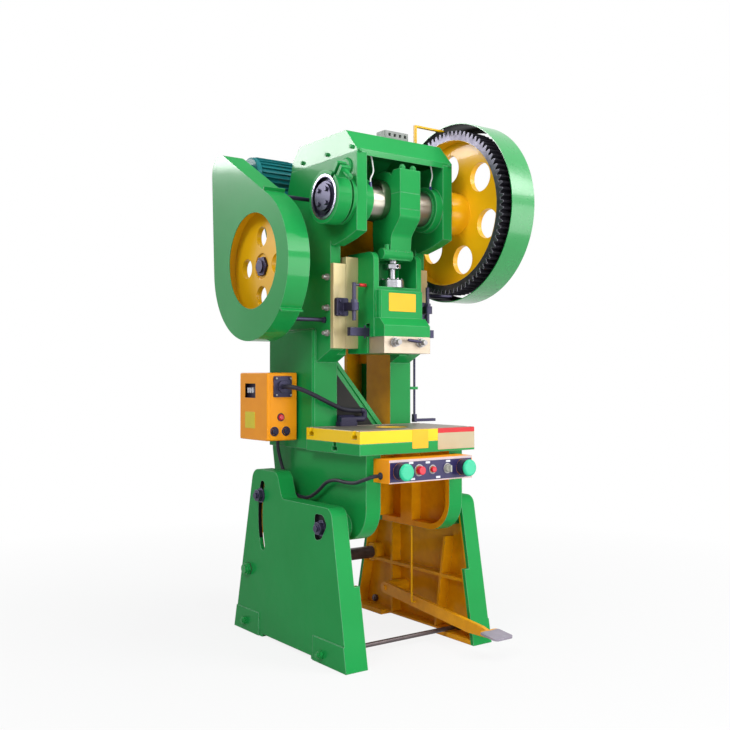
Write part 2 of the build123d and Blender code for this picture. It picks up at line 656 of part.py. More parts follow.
def frame_casting():
    side = column()
    frame = lower_box() + side + mirrored(side)
    frame += block(-TABLE_WIDTH / 2, TABLE_WIDTH / 2, TABLE_FRONT_Y, TABLE_BACK_Y, BED_BOTTOM_Z, BED_TOP_Z)
    frame += block(-COLUMN_HALF, COLUMN_HALF, TABLE_BACK_Y - 1, COLUMN_BACK_Y, BED_BOTTOM_Z, BED_TOP_Z)
    back_web = block(-HEAD_HALF + 10, HEAD_HALF - 10, HEAD_BACK_Y + 10, HEAD_BACK_Y + 10 + BACK_WEB_THICK,
                     STEP_Z, 1800)
    frame += back_web
    bosses = ((PIVOT_Y, PIVOT_Z, PIVOT_BOSS_R), (*tilt_point(TILT_BOLT_ANGLE), TILT_BOSS_R))
    for y, z, radius in bosses:
        boss = rod_x(radius, BOX_HALF - 8, BOSS_END_X, y, z)
        frame += boss + mirrored(boss)
        hole = rod_x(TILT_BOLT_R + RUN_FIT, BOX_HALF + 15, BOSS_END_X + 1, y, z)
        frame -= hole + mirrored(hole)
    boss = rod_x(CRANK_BOSS_R, SLEEVE_INNER_X + 4, HEAD_HALF - 10, CRANK_Y, CRANK_Z)
    frame += boss + mirrored(boss)
    sleeve_seat = rod_x(SLEEVE_R + RUN_FIT, THROAT_HALF - 5, HEAD_HALF + 1, CRANK_Y, CRANK_Z)
    shaft_seat = rod_x(SHAFT_BUSH_R + RUN_FIT, THROAT_HALF - 5, HEAD_HALF + 1, SHAFT_Y, SHAFT_Z)
    frame -= sleeve_seat + mirrored(sleeve_seat) + shaft_seat + mirrored(shaft_seat)
    slot_y = TABLE_FRONT_Y + TABLE_DEPTH / 2 - 16
    frame -= t_slot(slot_y, BED_TOP_Z)
    frame -= rod_z(BOLSTER_HOLE_R + 20, 0, CRANK_Y, BED_BOTTOM_Z - 1, BED_TOP_Z + 1)
    for z in CLUTCH_EYE_ZS:
        eye = block(COLUMN_HALF - 1, CLUTCH_ROD_X + 11, CLUTCH_ROD_Y - 11, CLUTCH_ROD_Y + 11, z, z + 12)
        frame += eye - rod_z(CLUTCH_ROD_R + RUN_FIT, CLUTCH_ROD_X, CLUTCH_ROD_Y, z - 1, z + 13)
    for z in GIB_SCREW_ZS:
        hole = rod_x(GIB_SCREW_R + RUN_FIT, GIB_OUTER_X - 1, HEAD_HALF + 20, GUIDE_FRONT_Y + GIB_THICK / 2 + 6, z)
        frame -= hole + mirrored(hole)
    return frame


def t_slot(y, top_z):
    """Cutter for a T-slot along X below a face at top_z."""
    length = TABLE_WIDTH / 2 + 1
    neck = block(-length, length, y - T_SLOT_NECK / 2, y + T_SLOT_NECK / 2, top_z - T_SLOT_DEPTH, top_z + 1)
    return neck + block(-length, length, y - T_SLOT_HEAD / 2, y + T_SLOT_HEAD / 2,
                        top_z - T_SLOT_DEPTH, top_z - T_SLOT_DEPTH + T_SLOT_HEAD_TALL)


def bolster_plate():
    half = TABLE_WIDTH / 2
    plate = block(-half, half, TABLE_FRONT_Y, TABLE_BACK_Y - FACE_GAP, BED_TOP_Z, TABLE_TOP_Z)
    plate = chamfer(plate.edges().group_by(Axis.Z)[-1], 2)
    for y in (TABLE_FRONT_Y + T_SLOT_FROM_EDGE, TABLE_BACK_Y - T_SLOT_FROM_EDGE):
        plate -= t_slot(y, TABLE_TOP_Z)
    return plate - rod_z(BOLSTER_HOLE_R, 0, CRANK_Y, BED_TOP_Z - 1, TABLE_TOP_Z + 1)


def hood_profile(inset, bottom):
    """Side view of the sheet hood: short front skirt, chamfered front, sloping back."""
    return rounded([
        (HEAD_FRONT_Y + inset, bottom, 0), (HEAD_FRONT_Y + inset, HEAD_TOP_Z + 10 - inset / 2, 0),
        (HOOD_CHAMFER_Y + inset / 2, HOOD_TOP_Z - inset, 0), (84, HOOD_TOP_Z - inset, 30),
        (140 - inset / 2, 1944 - inset / 2, 30), (HEAD_BACK_Y - inset, bottom, 0)])


def head_cover():
    """Folded sheet hood on top of the head walls, closed at its sides and open below."""
    outer = slab_x(hood_profile(0, HEAD_TOP_Z), -HEAD_HALF, HEAD_HALF)
    inner = slab_x(hood_profile(HOOD_SHEET, HEAD_TOP_Z - 1), -HEAD_HALF + HOOD_SHEET, HEAD_HALF - HOOD_SHEET)
    lintel = block(-HEAD_HALF + HEAD_WALL, HEAD_HALF - HEAD_WALL, HEAD_FRONT_Y, HEAD_FRONT_Y + HOOD_SHEET,
                   HEAD_TOP_Z - 12, HEAD_TOP_Z + 1)
    return (outer - inner) + lintel


def roof_vent():
    """Slotted box on the hood, over the crank's oil distributor."""
    left, right = VENT_X
    vent = block(left, right, -212, -152, HOOD_TOP_Z, HOOD_TOP_Z + VENT_TALL)
    vent = fillet(vent.edges().filter_by(Axis.Z), 6)
    for x in (left + 18, left + 44, left + 70, left + 96):
        vent -= block(x, x + 12, -220, -140, HOOD_TOP_Z + VENT_TALL - 21, HOOD_TOP_Z + VENT_TALL - 9)
    return vent


# Crankshaft group
def crank_sleeves():
    """Bearing sleeves of the crank, one in each head wall, the brake's one with a flange outside."""
    sleeve = rod_x(SLEEVE_R, SLEEVE_INNER_X, HEAD_HALF, CRANK_Y, CRANK_Z)
    sleeve = chamfer(sleeve.edges().group_by(Axis.X)[0], 3)
    flange = rod_x(SLEEVE_FLANGE_R, -HEAD_HALF - SLEEVE_FLANGE_THICK, -HEAD_HALF, CRANK_Y, CRANK_Z)
    left = mirrored(sleeve) + flange
    bore = rod_x(JOURNAL_R + RUN_FIT, -HEAD_HALF - 40, HEAD_HALF + 40, CRANK_Y, CRANK_Z)
    return group(left - bore, sleeve - bore)


def crankshaft():
    pin_half = PIN_LENGTH / 2
    shaft = rod_x(PIN_R, -pin_half - 1, pin_half + 1, CRANK_Y, PIN_Z)
    web = Pos(CRANK_Y, CRANK_Z) * Circle(WEB_R) + Pos(CRANK_Y, PIN_Z) * Circle(WEB_R)
    web += Pos(CRANK_Y, (CRANK_Z + PIN_Z) / 2) * Rectangle(2 * WEB_R, CRANK_THROW)
    half = slab_x(web, pin_half, pin_half + WEB_THICK)
    half += rod_x(SHOULDER_R, pin_half + WEB_THICK - 1, SLEEVE_INNER_X - FACE_GAP, CRANK_Y, CRANK_Z)
    shaft += half + mirrored(half)
    shaft += rod_x(JOURNAL_R, SLEEVE_INNER_X - 1, GEAR_HUB_X - 2, CRANK_Y, CRANK_Z)
    shaft += rod_x(JOURNAL_R, -HEAD_HALF - 18, -SLEEVE_INNER_X + 1, CRANK_Y, CRANK_Z)
    shaft += rod_x(GEAR_BORE_R, GEAR_HUB_X - 3, GEAR_LEFT_X + GEAR_FACE + 8, CRANK_Y, CRANK_Z)
    shaft += rod_x(DRUM_BORE_R, DRUM_LEFT_X + 6, -HEAD_HALF - 17, CRANK_Y, CRANK_Z)
    return shaft


def brake_drum():
    """Dished drum keyed to the crank's left end, with its hub cap and cap screws."""
    right_x = DRUM_LEFT_X + DRUM_WIDE
    drum = rod_x(DRUM_R, DRUM_LEFT_X, right_x, CRANK_Y, CRANK_Z)
    drum -= rod_x(DRUM_R - DRUM_RIM, DRUM_LEFT_X - 1, DRUM_LEFT_X + 16, CRANK_Y, CRANK_Z)
    drum -= rod_x(DRUM_R - DRUM_RIM, DRUM_LEFT_X + 34, right_x + 1, CRANK_Y, CRANK_Z)
    drum += rod_x(DRUM_BORE_R + 20, DRUM_LEFT_X + 6, right_x, CRANK_Y, CRANK_Z)
    drum -= rod_x(DRUM_BORE_R + RUN_FIT, DRUM_LEFT_X + 5, right_x + 1, CRANK_Y, CRANK_Z)
    drum += rod_x(DRUM_BORE_R + 12, DRUM_LEFT_X - 4, DRUM_LEFT_X + 6, CRANK_Y, CRANK_Z)
    for hole in range(4):
        angle = math.radians(45 + 90 * hole)
        y, z = CRANK_Y + 36 * math.cos(angle), CRANK_Z + 36 * math.sin(angle)
        drum += hex_x(9, DRUM_LEFT_X - 11, DRUM_LEFT_X - 3, y, z)
    return drum


def brake_band():
    """Lined strap round the drum, split up in front, with a lug at each end."""
    inner = DRUM_R + FACE_GAP
    right_x = DRUM_LEFT_X + 3 + BAND_WIDE
    band = rod_x(inner + BAND_THICK, DRUM_LEFT_X + 3, right_x, CRANK_Y, CRANK_Z)
    band -= rod_x(inner, DRUM_LEFT_X, right_x + 1, CRANK_Y, CRANK_Z)
    turn = Pos(0, CRANK_Y, CRANK_Z) * Rot(X=BAND_LUG_DEGREES)
    reach = inner + BAND_THICK
    band -= turn * block(DRUM_LEFT_X, right_x + 1, inner - 10, reach + 10, -9, 9)
    for side in (-1, 1):
        lug = block(DRUM_LEFT_X + 12, right_x - 9, reach - 5, reach + 42, side * 9, side * 23)
        lug -= Pos((DRUM_LEFT_X + right_x) / 2, reach + 24, 0) * Cylinder(6.5, 80)
        band += turn * lug
    return band


def brake_bolt():
    """Long bolt through both lugs, with the spring that pulls them together."""
    turn = Pos(0, CRANK_Y, CRANK_Z) * Rot(X=BAND_LUG_DEGREES)
    x, y = DRUM_LEFT_X + 3 + BAND_WIDE / 2 - 1.5, DRUM_R + FACE_GAP + BAND_THICK + 24
    bolt = Pos(x, y, 14) * Cylinder(6, 120)
    spring = Pos(x, y, 23 + 0.1 + 20) * (Cylinder(11, 40) - Cylinder(6, 41))
    head = slab_z(Pos(x, y) * RegularPolygon(11, 6), -32, -23.1)
    nut = slab_z(Pos(x, y) * RegularPolygon(11, 6), 63.1, 72)
    return turn * (bolt + spring + head + nut)


# Connecting rod group
def rod_profile():
    """Side view of the rod: ring on the pin, bolt pad in front, arm down to the screw."""
    front = CRANK_Y - ROD_PAD_FRONT
    ring = Pos(CRANK_Y, PIN_Z) * Circle(ROD_RING_R)
    pad = rounded([
        (front, PIN_Z - 62, 0), (front, PIN_Z + ROD_PAD_HALF_HEIGHT, 5),
        (front + ROD_PAD_DEPTH, PIN_Z + ROD_PAD_HALF_HEIGHT, 5),
        (CRANK_Y, PIN_Z, 0), (CRANK_Y - 40, PIN_Z - 90, 0)])
    back_pad = rounded([
        (CRANK_Y, PIN_Z, 0), (CRANK_Y + 50, PIN_Z + 66, 0), (CRANK_Y + 106, PIN_Z + 66, 5),
        (CRANK_Y + 106, PIN_Z - 46, 5), (CRANK_Y + 40, PIN_Z - 88, 0)])
    arm = rounded([
        (front, PIN_Z - 62, 4), (CRANK_Y - 40, PIN_Z - 50, 0), (CRANK_Y + 60, PIN_Z - 60, 0),
        (CRANK_Y + 58, 1600, 40), (CRANK_Y + ROD_FOOT_R, ROD_BOTTOM_Z, 0),
        (CRANK_Y - ROD_FOOT_R, ROD_BOTTOM_Z, 0),
        (CRANK_Y - 58, 1560, 20), (CRANK_Y - 62, 1610, 40), (front, PIN_Z - 96, 24)])
    return ring + pad + back_pad + arm


def connecting_rod():
    """Whole rod before it is split at the pin."""
    half = ROD_WIDTH / 2
    rod = slab_x(rod_profile(), -half, half)
    barrel_z = ROD_BOTTOM_Z + CLAMP_BARREL_R
    rod += rod_x(CLAMP_BARREL_R, CLAMP_BARREL_LEFT_X, CLAMP_BARREL_RIGHT_X, CRANK_Y - 36, barrel_z)
    for x in (-62, -16, 30):
        rod += hex_z(10, x, CRANK_Y - 48, barrel_z, barrel_z + CLAMP_BARREL_R + 12)
    rod -= rod_x(PIN_R + RUN_FIT, -half - 1, half + 1, CRANK_Y, PIN_Z)
    top = ROD_BOTTOM_Z + ROD_BORE_DEPTH
    rod -= rod_z(ROD_BORE_R, 0, CRANK_Y, ROD_BOTTOM_Z - 1, top)
    rod -= block(-ROD_BORE_R, ROD_BORE_R, CRANK_Y, CRANK_Y + 90, ROD_BOTTOM_Z - 1, top)
    for x in (-26, 26):
        for y in (CRANK_Y - ROD_PAD_FRONT + ROD_PAD_DEPTH / 2 - 3, CRANK_Y + 86):
            rod -= rod_z(8 + RUN_FIT, x, y, PIN_Z - 50, PIN_Z + 120)
    return rod


def conrod_body(rod):
    return rod & block(-200, 200, CRANK_Y - 200, CRANK_Y + 200, ROD_BOTTOM_Z - 1, PIN_Z)


def conrod_cap(rod):
    return rod & block(-200, 200, CRANK_Y - 200, CRANK_Y + 200, PIN_Z, PIN_Z + 200)


def conrod_bolts():
    """Cap studs with their nuts, two in front of the pin and two behind."""
    bolts = []
    front_y = CRANK_Y - ROD_PAD_FRONT + ROD_PAD_DEPTH / 2 - 3
    seats = ((front_y, PIN_Z + ROD_PAD_HALF_HEIGHT), (CRANK_Y + 86, PIN_Z + 66))
    for x in (-26, 26):
        for y, seat in seats:
            bolt = rod_z(8, x, y, PIN_Z - 48, seat + 18)
            bolts.append(bolt + hex_z(13, x, y, seat, seat + 12))
    return group(*bolts)


# Slide group
def slide_body():
    front, back = SLIDE_FRONT_Y, SLIDE_BACK_Y
    body = block(-SLIDE_HALF, SLIDE_HALF, front, back, SLIDE_BOTTOM_Z, SLIDE_TOP_Z)
    front_top = body.edges().filter_by(Axis.X).group_by(Axis.Z)[-1].group_by(Axis.Y)[0]
    body = fillet(front_top, SLIDE_EAR_ROUND)
    pocket_half = SLIDE_HALF - EAR_THICK
    body -= block(-pocket_half, pocket_half, front - 1, POCKET_BACK_Y, POCKET_FLOOR_Z, SLIDE_TOP_Z + 1)
    brow = block(-BROW_HALF, BROW_HALF, front - BROW_PROUD, front + 1, BROW_BOTTOM_Z - 1, BROW_TOP_Z)
    body += chamfer(brow.edges().filter_by(Axis.Z).group_by(Axis.Y)[0], 6)
    chin = block(-CHIN_HALF, CHIN_HALF, CHIN_FRONT_Y, front + 1, SLIDE_BOTTOM_Z, BROW_BOTTOM_Z)
    body += chamfer(chin.edges().filter_by(Axis.X).group_by(Axis.Z)[-1].group_by(Axis.Y)[0], 30)
    tongue_y = GUIDE_FRONT_Y + GIB_THICK / 2
    tongue = rounded([
        (SLIDE_HALF - 2, tongue_y - TONGUE_HALF, 0), (SLIDE_HALF + TONGUE_PROUD, tongue_y - 3, 0),
        (SLIDE_HALF + TONGUE_PROUD, tongue_y + 3, 0), (SLIDE_HALF - 2, tongue_y + TONGUE_HALF, 0)])
    rail = slab_z(tongue, SLIDE_BOTTOM_Z + 20, SLIDE_TOP_Z - 14)
    body += rail + mirrored(rail)
    clamp_top = SLIDE_BOTTOM_Z + SHANK_CLAMP_TALL
    body -= block(-CHIN_HALF - 10, CHIN_HALF + 10, CHIN_FRONT_Y - 1, CRANK_Y, SLIDE_BOTTOM_Z - 1, clamp_top)
    body -= rod_z(SHANK_R, 0, CRANK_Y, SLIDE_BOTTOM_Z - 1, SLIDE_BOTTOM_Z + SHANK_DEPTH)
    slot_half = KNOCKOUT_BAR_THICK / 2 + 1
    body -= block(-SLIDE_HALF - 40, SLIDE_HALF + 40, CRANK_Y - slot_half, CRANK_Y + slot_half,
                  KNOCKOUT_BAR_Z - FACE_GAP, KNOCKOUT_BAR_Z + KNOCKOUT_BAR_TALL + KNOCKOUT_LIFT + 2)
    body -= rod_z(12, 0, CRANK_Y, SLIDE_BOTTOM_Z + 10, KNOCKOUT_BAR_Z + 1)
    for x in (-STUD_SPACING / 2, STUD_SPACING / 2):
        body -= rod_y(STUD_R + RUN_FIT, x, CRANK_Y - 1, CRANK_Y + 50, STUD_Z)
    body -= Pos(0, CRANK_Y, BALL_Z) * Sphere(BALL_R + FACE_GAP)
    body -= rod_z(BALL_R + FACE_GAP, 0, CRANK_Y, BALL_Z, POCKET_FLOOR_Z + 1)
    return body


def shank_clamp():
    """Front half of the die-shank socket, pulled back by two studs."""
    clamp = block(-CHIN_HALF, CHIN_HALF, CHIN_FRONT_Y, CRANK_Y - SHANK_CLAMP_SPLIT,
                  SLIDE_BOTTOM_Z, SLIDE_BOTTOM_Z + SHANK_CLAMP_TALL)
    clamp -= rod_z(SHANK_R, 0, CRANK_Y, SLIDE_BOTTOM_Z - 1, SLIDE_BOTTOM_Z + SHANK_DEPTH)
    for x in (-STUD_SPACING / 2, STUD_SPACING / 2):
        clamp -= rod_y(STUD_R + RUN_FIT, x, CHIN_FRONT_Y - 1, CRANK_Y, STUD_Z)
    return clamp


def clamp_studs():
    studs = []
    for x in (-STUD_SPACING / 2, STUD_SPACING / 2):
        stud = rod_y(STUD_R, x, CHIN_FRONT_Y - 34, CRANK_Y + 48, STUD_Z)
        stud += rod_y(19, x, CHIN_FRONT_Y - 4, CHIN_FRONT_Y, STUD_Z)
        studs.append(stud + hex_y(17, x, CHIN_FRONT_Y - 18, CHIN_FRONT_Y - 4, STUD_Z))
    return group(*studs)


def ball_cap():
    """Ring screwed down over the ball, with a spherical inside."""
    cap = rod_z(BALL_CAP_R, 0, CRANK_Y, POCKET_FLOOR_Z, POCKET_FLOOR_Z + BALL_CAP_THICK)
    cap = chamfer(cap.edges().group_by(Axis.Z)[-1], 4)
    cap -= Pos(0, CRANK_Y, BALL_Z) * Sphere(BALL_R + FACE_GAP)
    cap -= rod_z(SCREW_NECK_R + 6, 0, CRANK_Y, POCKET_FLOOR_Z, POCKET_FLOOR_Z + BALL_CAP_THICK + 1)
    for bolt in range(6):
        angle = math.radians(30 + 60 * bolt)
        x, y = 38 * math.cos(angle), CRANK_Y + 38 * math.sin(angle)
        cap += rod_z(5, x, y, POCKET_FLOOR_Z + BALL_CAP_THICK - 5, POCKET_FLOOR_Z + BALL_CAP_THICK + 5)
    return cap


def adjusting_screw():
    """Ball, neck, tommy-bar collar and threaded end, turned from one bar."""
    screw = Pos(0, CRANK_Y, BALL_Z) * Sphere(BALL_R)
    screw += rod_z(SCREW_NECK_R, 0, CRANK_Y, BALL_Z, COLLAR_TOP_Z)
    collar = rod_z(COLLAR_R, 0, CRANK_Y, COLLAR_TOP_Z - COLLAR_THICK, COLLAR_TOP_Z)
    screw += chamfer(collar.edges(), 3)
    screw += rod_z(SCREW_R, 0, CRANK_Y, COLLAR_TOP_Z - 1, COLLAR_TOP_Z + SCREW_LENGTH)
    middle = COLLAR_TOP_Z - COLLAR_THICK / 2
    return screw - rod_y(6, 0, CRANK_Y - COLLAR_R - 1, CRANK_Y - 12, middle)


def gibs():
    """Guide bars with the V-grooves that the slide's tongues run in."""
    near = SLIDE_HALF + FACE_GAP
    back = GUIDE_FRONT_Y + GIB_THICK
    top = GIB_TOP_Z + GIB_RISE
    bar = block(near, near + GIB_INNER - RUN_FIT, GUIDE_FRONT_Y, back - RUN_FIT, GIB_BOTTOM_Z, top)
    tongue_y = GUIDE_FRONT_Y + GIB_THICK / 2
    clear = TONGUE_HALF + 1
    groove = rounded([
        (near - 4, tongue_y - clear - 1, 0), (near + TONGUE_PROUD + 1, tongue_y - 4, 0),
        (near + TONGUE_PROUD + 1, tongue_y + 4, 0), (near - 4, tongue_y + clear + 1, 0)])
    return both_sides(bar - slab_z(groove, GIB_BOTTOM_Z - 1, top + 1))


def gib_keepers():
    """Flat strips beside the gibs, one on each jaw."""
    strip = block(GIB_OUTER_X + RUN_FIT, HEAD_HALF, GUIDE_FRONT_Y, GUIDE_FRONT_Y + KEEPER_THICK,
                  GIB_BOTTOM_Z, GIB_TOP_Z)
    return both_sides(chamfer(strip.edges().filter_by(Axis.Z).group_by(Axis.Y)[0], 1.5))


def gib_screws():
    """Side adjusting screws with locknuts, three on each jaw."""
    y = GUIDE_FRONT_Y + GIB_THICK / 2 + 6
    screws = []
    for z in GIB_SCREW_ZS:
        screw = rod_x(GIB_SCREW_R, GIB_OUTER_X, HEAD_HALF + GIB_SCREW_PROUD, y, z)
        screws.append(both_sides(screw + hex_x(14, HEAD_HALF, HEAD_HALF + 11, y, z)))
    return group(*screws)


def knockout_bar():
    half = KNOCKOUT_BAR_LENGTH / 2
    bar = block(-half, half, CRANK_Y - KNOCKOUT_BAR_THICK / 2, CRANK_Y + KNOCKOUT_BAR_THICK / 2,
                KNOCKOUT_BAR_Z, KNOCKOUT_BAR_Z + KNOCKOUT_BAR_TALL)
    pin_x = SLIDE_HALF + 14
    for x in (-pin_x, pin_x):
        bar += rod_z(4, x, CRANK_Y, KNOCKOUT_BAR_Z - 8, KNOCKOUT_BAR_Z + KNOCKOUT_BAR_TALL + 10)
    return bar


def knockout_brackets():
    """Brackets on the guide strips, whose arms hold the stop screws."""
    z0 = KNOCKOUT_BRACKET_Z - KNOCKOUT_BRACKET_TALL / 2
    back = GUIDE_FRONT_Y
    front = back - KNOCKOUT_BRACKET_THICK
    outer = HEAD_HALF - 4
    plate = block(outer - KNOCKOUT_BRACKET_WIDE, outer, front, back, z0, z0 + KNOCKOUT_BRACKET_TALL)
    plate = fillet(plate.edges().filter_by(Axis.Y), 8)
    arm_z0 = KNOCKOUT_BRACKET_Z - KNOCKOUT_ARM_TALL / 2
    arm = block(KNOCKOUT_SCREW_X - 17, KNOCKOUT_SCREW_X + 17, CRANK_Y - 17, front + 1,
                arm_z0, arm_z0 + KNOCKOUT_ARM_TALL)
    arm = fillet(arm.edges().filter_by(Axis.Z).group_by(Axis.Y)[0], 12)
    bracket = plate + arm
    bracket -= rod_z(KNOCKOUT_SCREW_R + RUN_FIT, KNOCKOUT_SCREW_X, CRANK_Y,
                     arm_z0 - 1, arm_z0 + KNOCKOUT_ARM_TALL + 1)
    for z in (KNOCKOUT_BRACKET_Z - 24, KNOCKOUT_BRACKET_Z + 24):
        bracket += hex_y(9, outer - 16, front - 8, front + 1, z)
    return both_sides(bracket)


def knockout_screws():
    """Stop screws above the bar's ends; the left one has a short locking lever at its top."""
    z0 = KNOCKOUT_BAR_Z + KNOCKOUT_BAR_TALL + KNOCKOUT_STOP_GAP
    z1 = z0 + KNOCKOUT_SCREW_LENGTH
    nut_z = KNOCKOUT_BRACKET_Z + KNOCKOUT_ARM_TALL / 2
    screw = rod_z(KNOCKOUT_SCREW_R, KNOCKOUT_SCREW_X, CRANK_Y, z0, z1)
    screw += hex_z(14, KNOCKOUT_SCREW_X, CRANK_Y, nut_z, nut_z + 12)
    left = mirrored(screw) + rod_x(4, -KNOCKOUT_SCREW_X, -KNOCKOUT_SCREW_X + 26, CRANK_Y, z1 - 8)
    left += rod_x(7, -KNOCKOUT_SCREW_X + 25, -KNOCKOUT_SCREW_X + 55, CRANK_Y, z1 - 8)
    return group(screw, left)


# Gear train
def big_gear():
    outline = toothed_outline(GEAR_TEETH, PINION_TEETH)
    turn = PINION_ANGLE + 180 / GEAR_TEETH
    ring = Pos(CRANK_Y, CRANK_Z) * (Rot(Z=turn) * outline)
    gear = slab_x(ring, GEAR_LEFT_X, GEAR_LEFT_X + GEAR_FACE)
    web_end = GEAR_WEB_X + GEAR_WEB
    recess = Pos(CRANK_Y, CRANK_Z) * (Circle(GEAR_RIM_R) - Circle(GEAR_HUB_R))
    gear -= slab_x(recess, GEAR_LEFT_X - 1, GEAR_WEB_X)
    gear -= slab_x(recess, web_end, GEAR_LEFT_X + GEAR_FACE + 1)
    gear += rod_x(GEAR_HUB_R, GEAR_HUB_X, GEAR_LEFT_X + 1, CRANK_Y, CRANK_Z)
    for hole in range(GEAR_HOLES):
        angle = math.radians(GEAR_HOLE_TURN + hole * 360 / GEAR_HOLES)
        y = CRANK_Y + GEAR_HOLE_PITCH_R * math.cos(angle)
        z = CRANK_Z + GEAR_HOLE_PITCH_R * math.sin(angle)
        gear -= rod_x(GEAR_HOLE_R, GEAR_WEB_X - 1, web_end + 1, y, z)
    return gear - rod_x(GEAR_BORE_R + RUN_FIT, GEAR_HUB_X - 1, GEAR_LEFT_X + GEAR_FACE + 1, CRANK_Y, CRANK_Z)


def pinion_shaft():
    """Drive shaft with the pinion cut on its right end and the flywheel's seat on its left."""
    outline = toothed_outline(PINION_TEETH, GEAR_TEETH)
    ring = Pos(SHAFT_Y, SHAFT_Z) * (Rot(Z=PINION_ANGLE + 180) * outline)
    shaft = slab_x(ring, GEAR_LEFT_X + 3, GEAR_LEFT_X + GEAR_FACE - 3)
    shaft += rod_x(SHAFT_R, FLYWHEEL_HUB_X - 2, GEAR_LEFT_X + GEAR_FACE + 6, SHAFT_Y, SHAFT_Z)
    shaft += hex_x(SHAFT_R + 6, FLYWHEEL_HUB_X - 12, FLYWHEEL_HUB_X, SHAFT_Y, SHAFT_Z)
    shaft += rod_x(SHAFT_R - 10, FLYWHEEL_HUB_X - 20, FLYWHEEL_HUB_X - 1, SHAFT_Y, SHAFT_Z)
    return shaft


def flywheel():
    """Grooved rim with the web and the hub set back to its inner side, and four round holes."""
    x0, x1 = FLYWHEEL_LEFT_X, FLYWHEEL_LEFT_X + FLYWHEEL_WIDE
    wheel = rod_x(FLYWHEEL_R, x0, x1, SHAFT_Y, SHAFT_Z)
    recess = Pos(SHAFT_Y, SHAFT_Z) * (Circle(FLYWHEEL_R - FLYWHEEL_RIM) - Circle(FLYWHEEL_HUB_R))
    web_x = x1 - FLYWHEEL_WEB
    wheel -= slab_x(recess, x0 - 1, web_x)
    wheel -= rod_x(FLYWHEEL_HUB_R, x0 - 1, FLYWHEEL_HUB_X, SHAFT_Y, SHAFT_Z)
    for x in belt_xs():
        groove = Pos(SHAFT_Y, SHAFT_Z) * (Circle(FLYWHEEL_R + 5) - Circle(FLYWHEEL_R - BELT_THICK - 4))
        wheel -= slab_x(groove, x - BELT_WIDE / 2 - 1, x + BELT_WIDE / 2 + 1)
    for hole in range(FLYWHEEL_HOLES):
        angle = math.radians(-90 + hole * 360 / FLYWHEEL_HOLES)
        y = SHAFT_Y + FLYWHEEL_HOLE_PITCH_R * math.cos(angle)
        z = SHAFT_Z + FLYWHEEL_HOLE_PITCH_R * math.sin(angle)
        wheel -= rod_x(FLYWHEEL_HOLE_R, web_x - 1, x1 + 1, y, z)
    return wheel - rod_x(SHAFT_R + RUN_FIT, x0 - 1, x1 + 1, SHAFT_Y, SHAFT_Z)


def belt_xs():
    """Centre of each belt along the shaft."""
    middle = FLYWHEEL_LEFT_X + FLYWHEEL_WIDE / 2
    return [middle + (i - (BELTS - 1) / 2) * BELT_PITCH for i in range(BELTS)]


def drive_belts():
    """Belts from the motor pulley to the flywheel."""
    seat, small_seat = FLYWHEEL_R - BELT_THICK - 2, MOTOR_PULLEY_R - BELT_THICK - 2
    wheel, motor = (SHAFT_Y, SHAFT_Z), (MOTOR_Y, MOTOR_Z)
    outer = two_circle_loop(wheel, seat + BELT_THICK, motor, small_seat + BELT_THICK)
    inner = two_circle_loop(wheel, seat, motor, small_seat)
    belts = []
    for x in belt_xs():
        belts.append(slab_x(outer - inner, x - BELT_WIDE / 2, x + BELT_WIDE / 2))
    return group(*belts)


def motor_pulley():
    """Motor shaft with its grooved pulley."""
    x0, x1 = FLYWHEEL_LEFT_X, FLYWHEEL_LEFT_X + FLYWHEEL_WIDE
    pulley = rod_x(MOTOR_PULLEY_R, x0, x1, MOTOR_Y, MOTOR_Z)
    for x in belt_xs():
        groove_section = Circle(MOTOR_PULLEY_R + 5) - Circle(MOTOR_PULLEY_R - BELT_THICK - 4)
        groove = Pos(MOTOR_Y, MOTOR_Z) * groove_section
        pulley -= slab_x(groove, x - BELT_WIDE / 2 - 1, x + BELT_WIDE / 2 + 1)
    return pulley + rod_x(MOTOR_SHAFT_R, x0 - 4, MOTOR_LEFT_X + 40, MOTOR_Y, MOTOR_Z)


def shaft_bushes():
    """Bearing bushes of the drive shaft, one in each side of the frame."""
    bush = rod_x(SHAFT_BUSH_R, HEAD_HALF - SKIN, HEAD_HALF + 16, SHAFT_Y, SHAFT_Z)
    bush += rod_x(SHAFT_BUSH_R + 22, HEAD_HALF, HEAD_HALF + 16, SHAFT_Y, SHAFT_Z)
    bush -= rod_x(SHAFT_R + RUN_FIT, HEAD_HALF - SKIN - 1, HEAD_HALF + 17, SHAFT_Y, SHAFT_Z)
    return both_sides(bush)


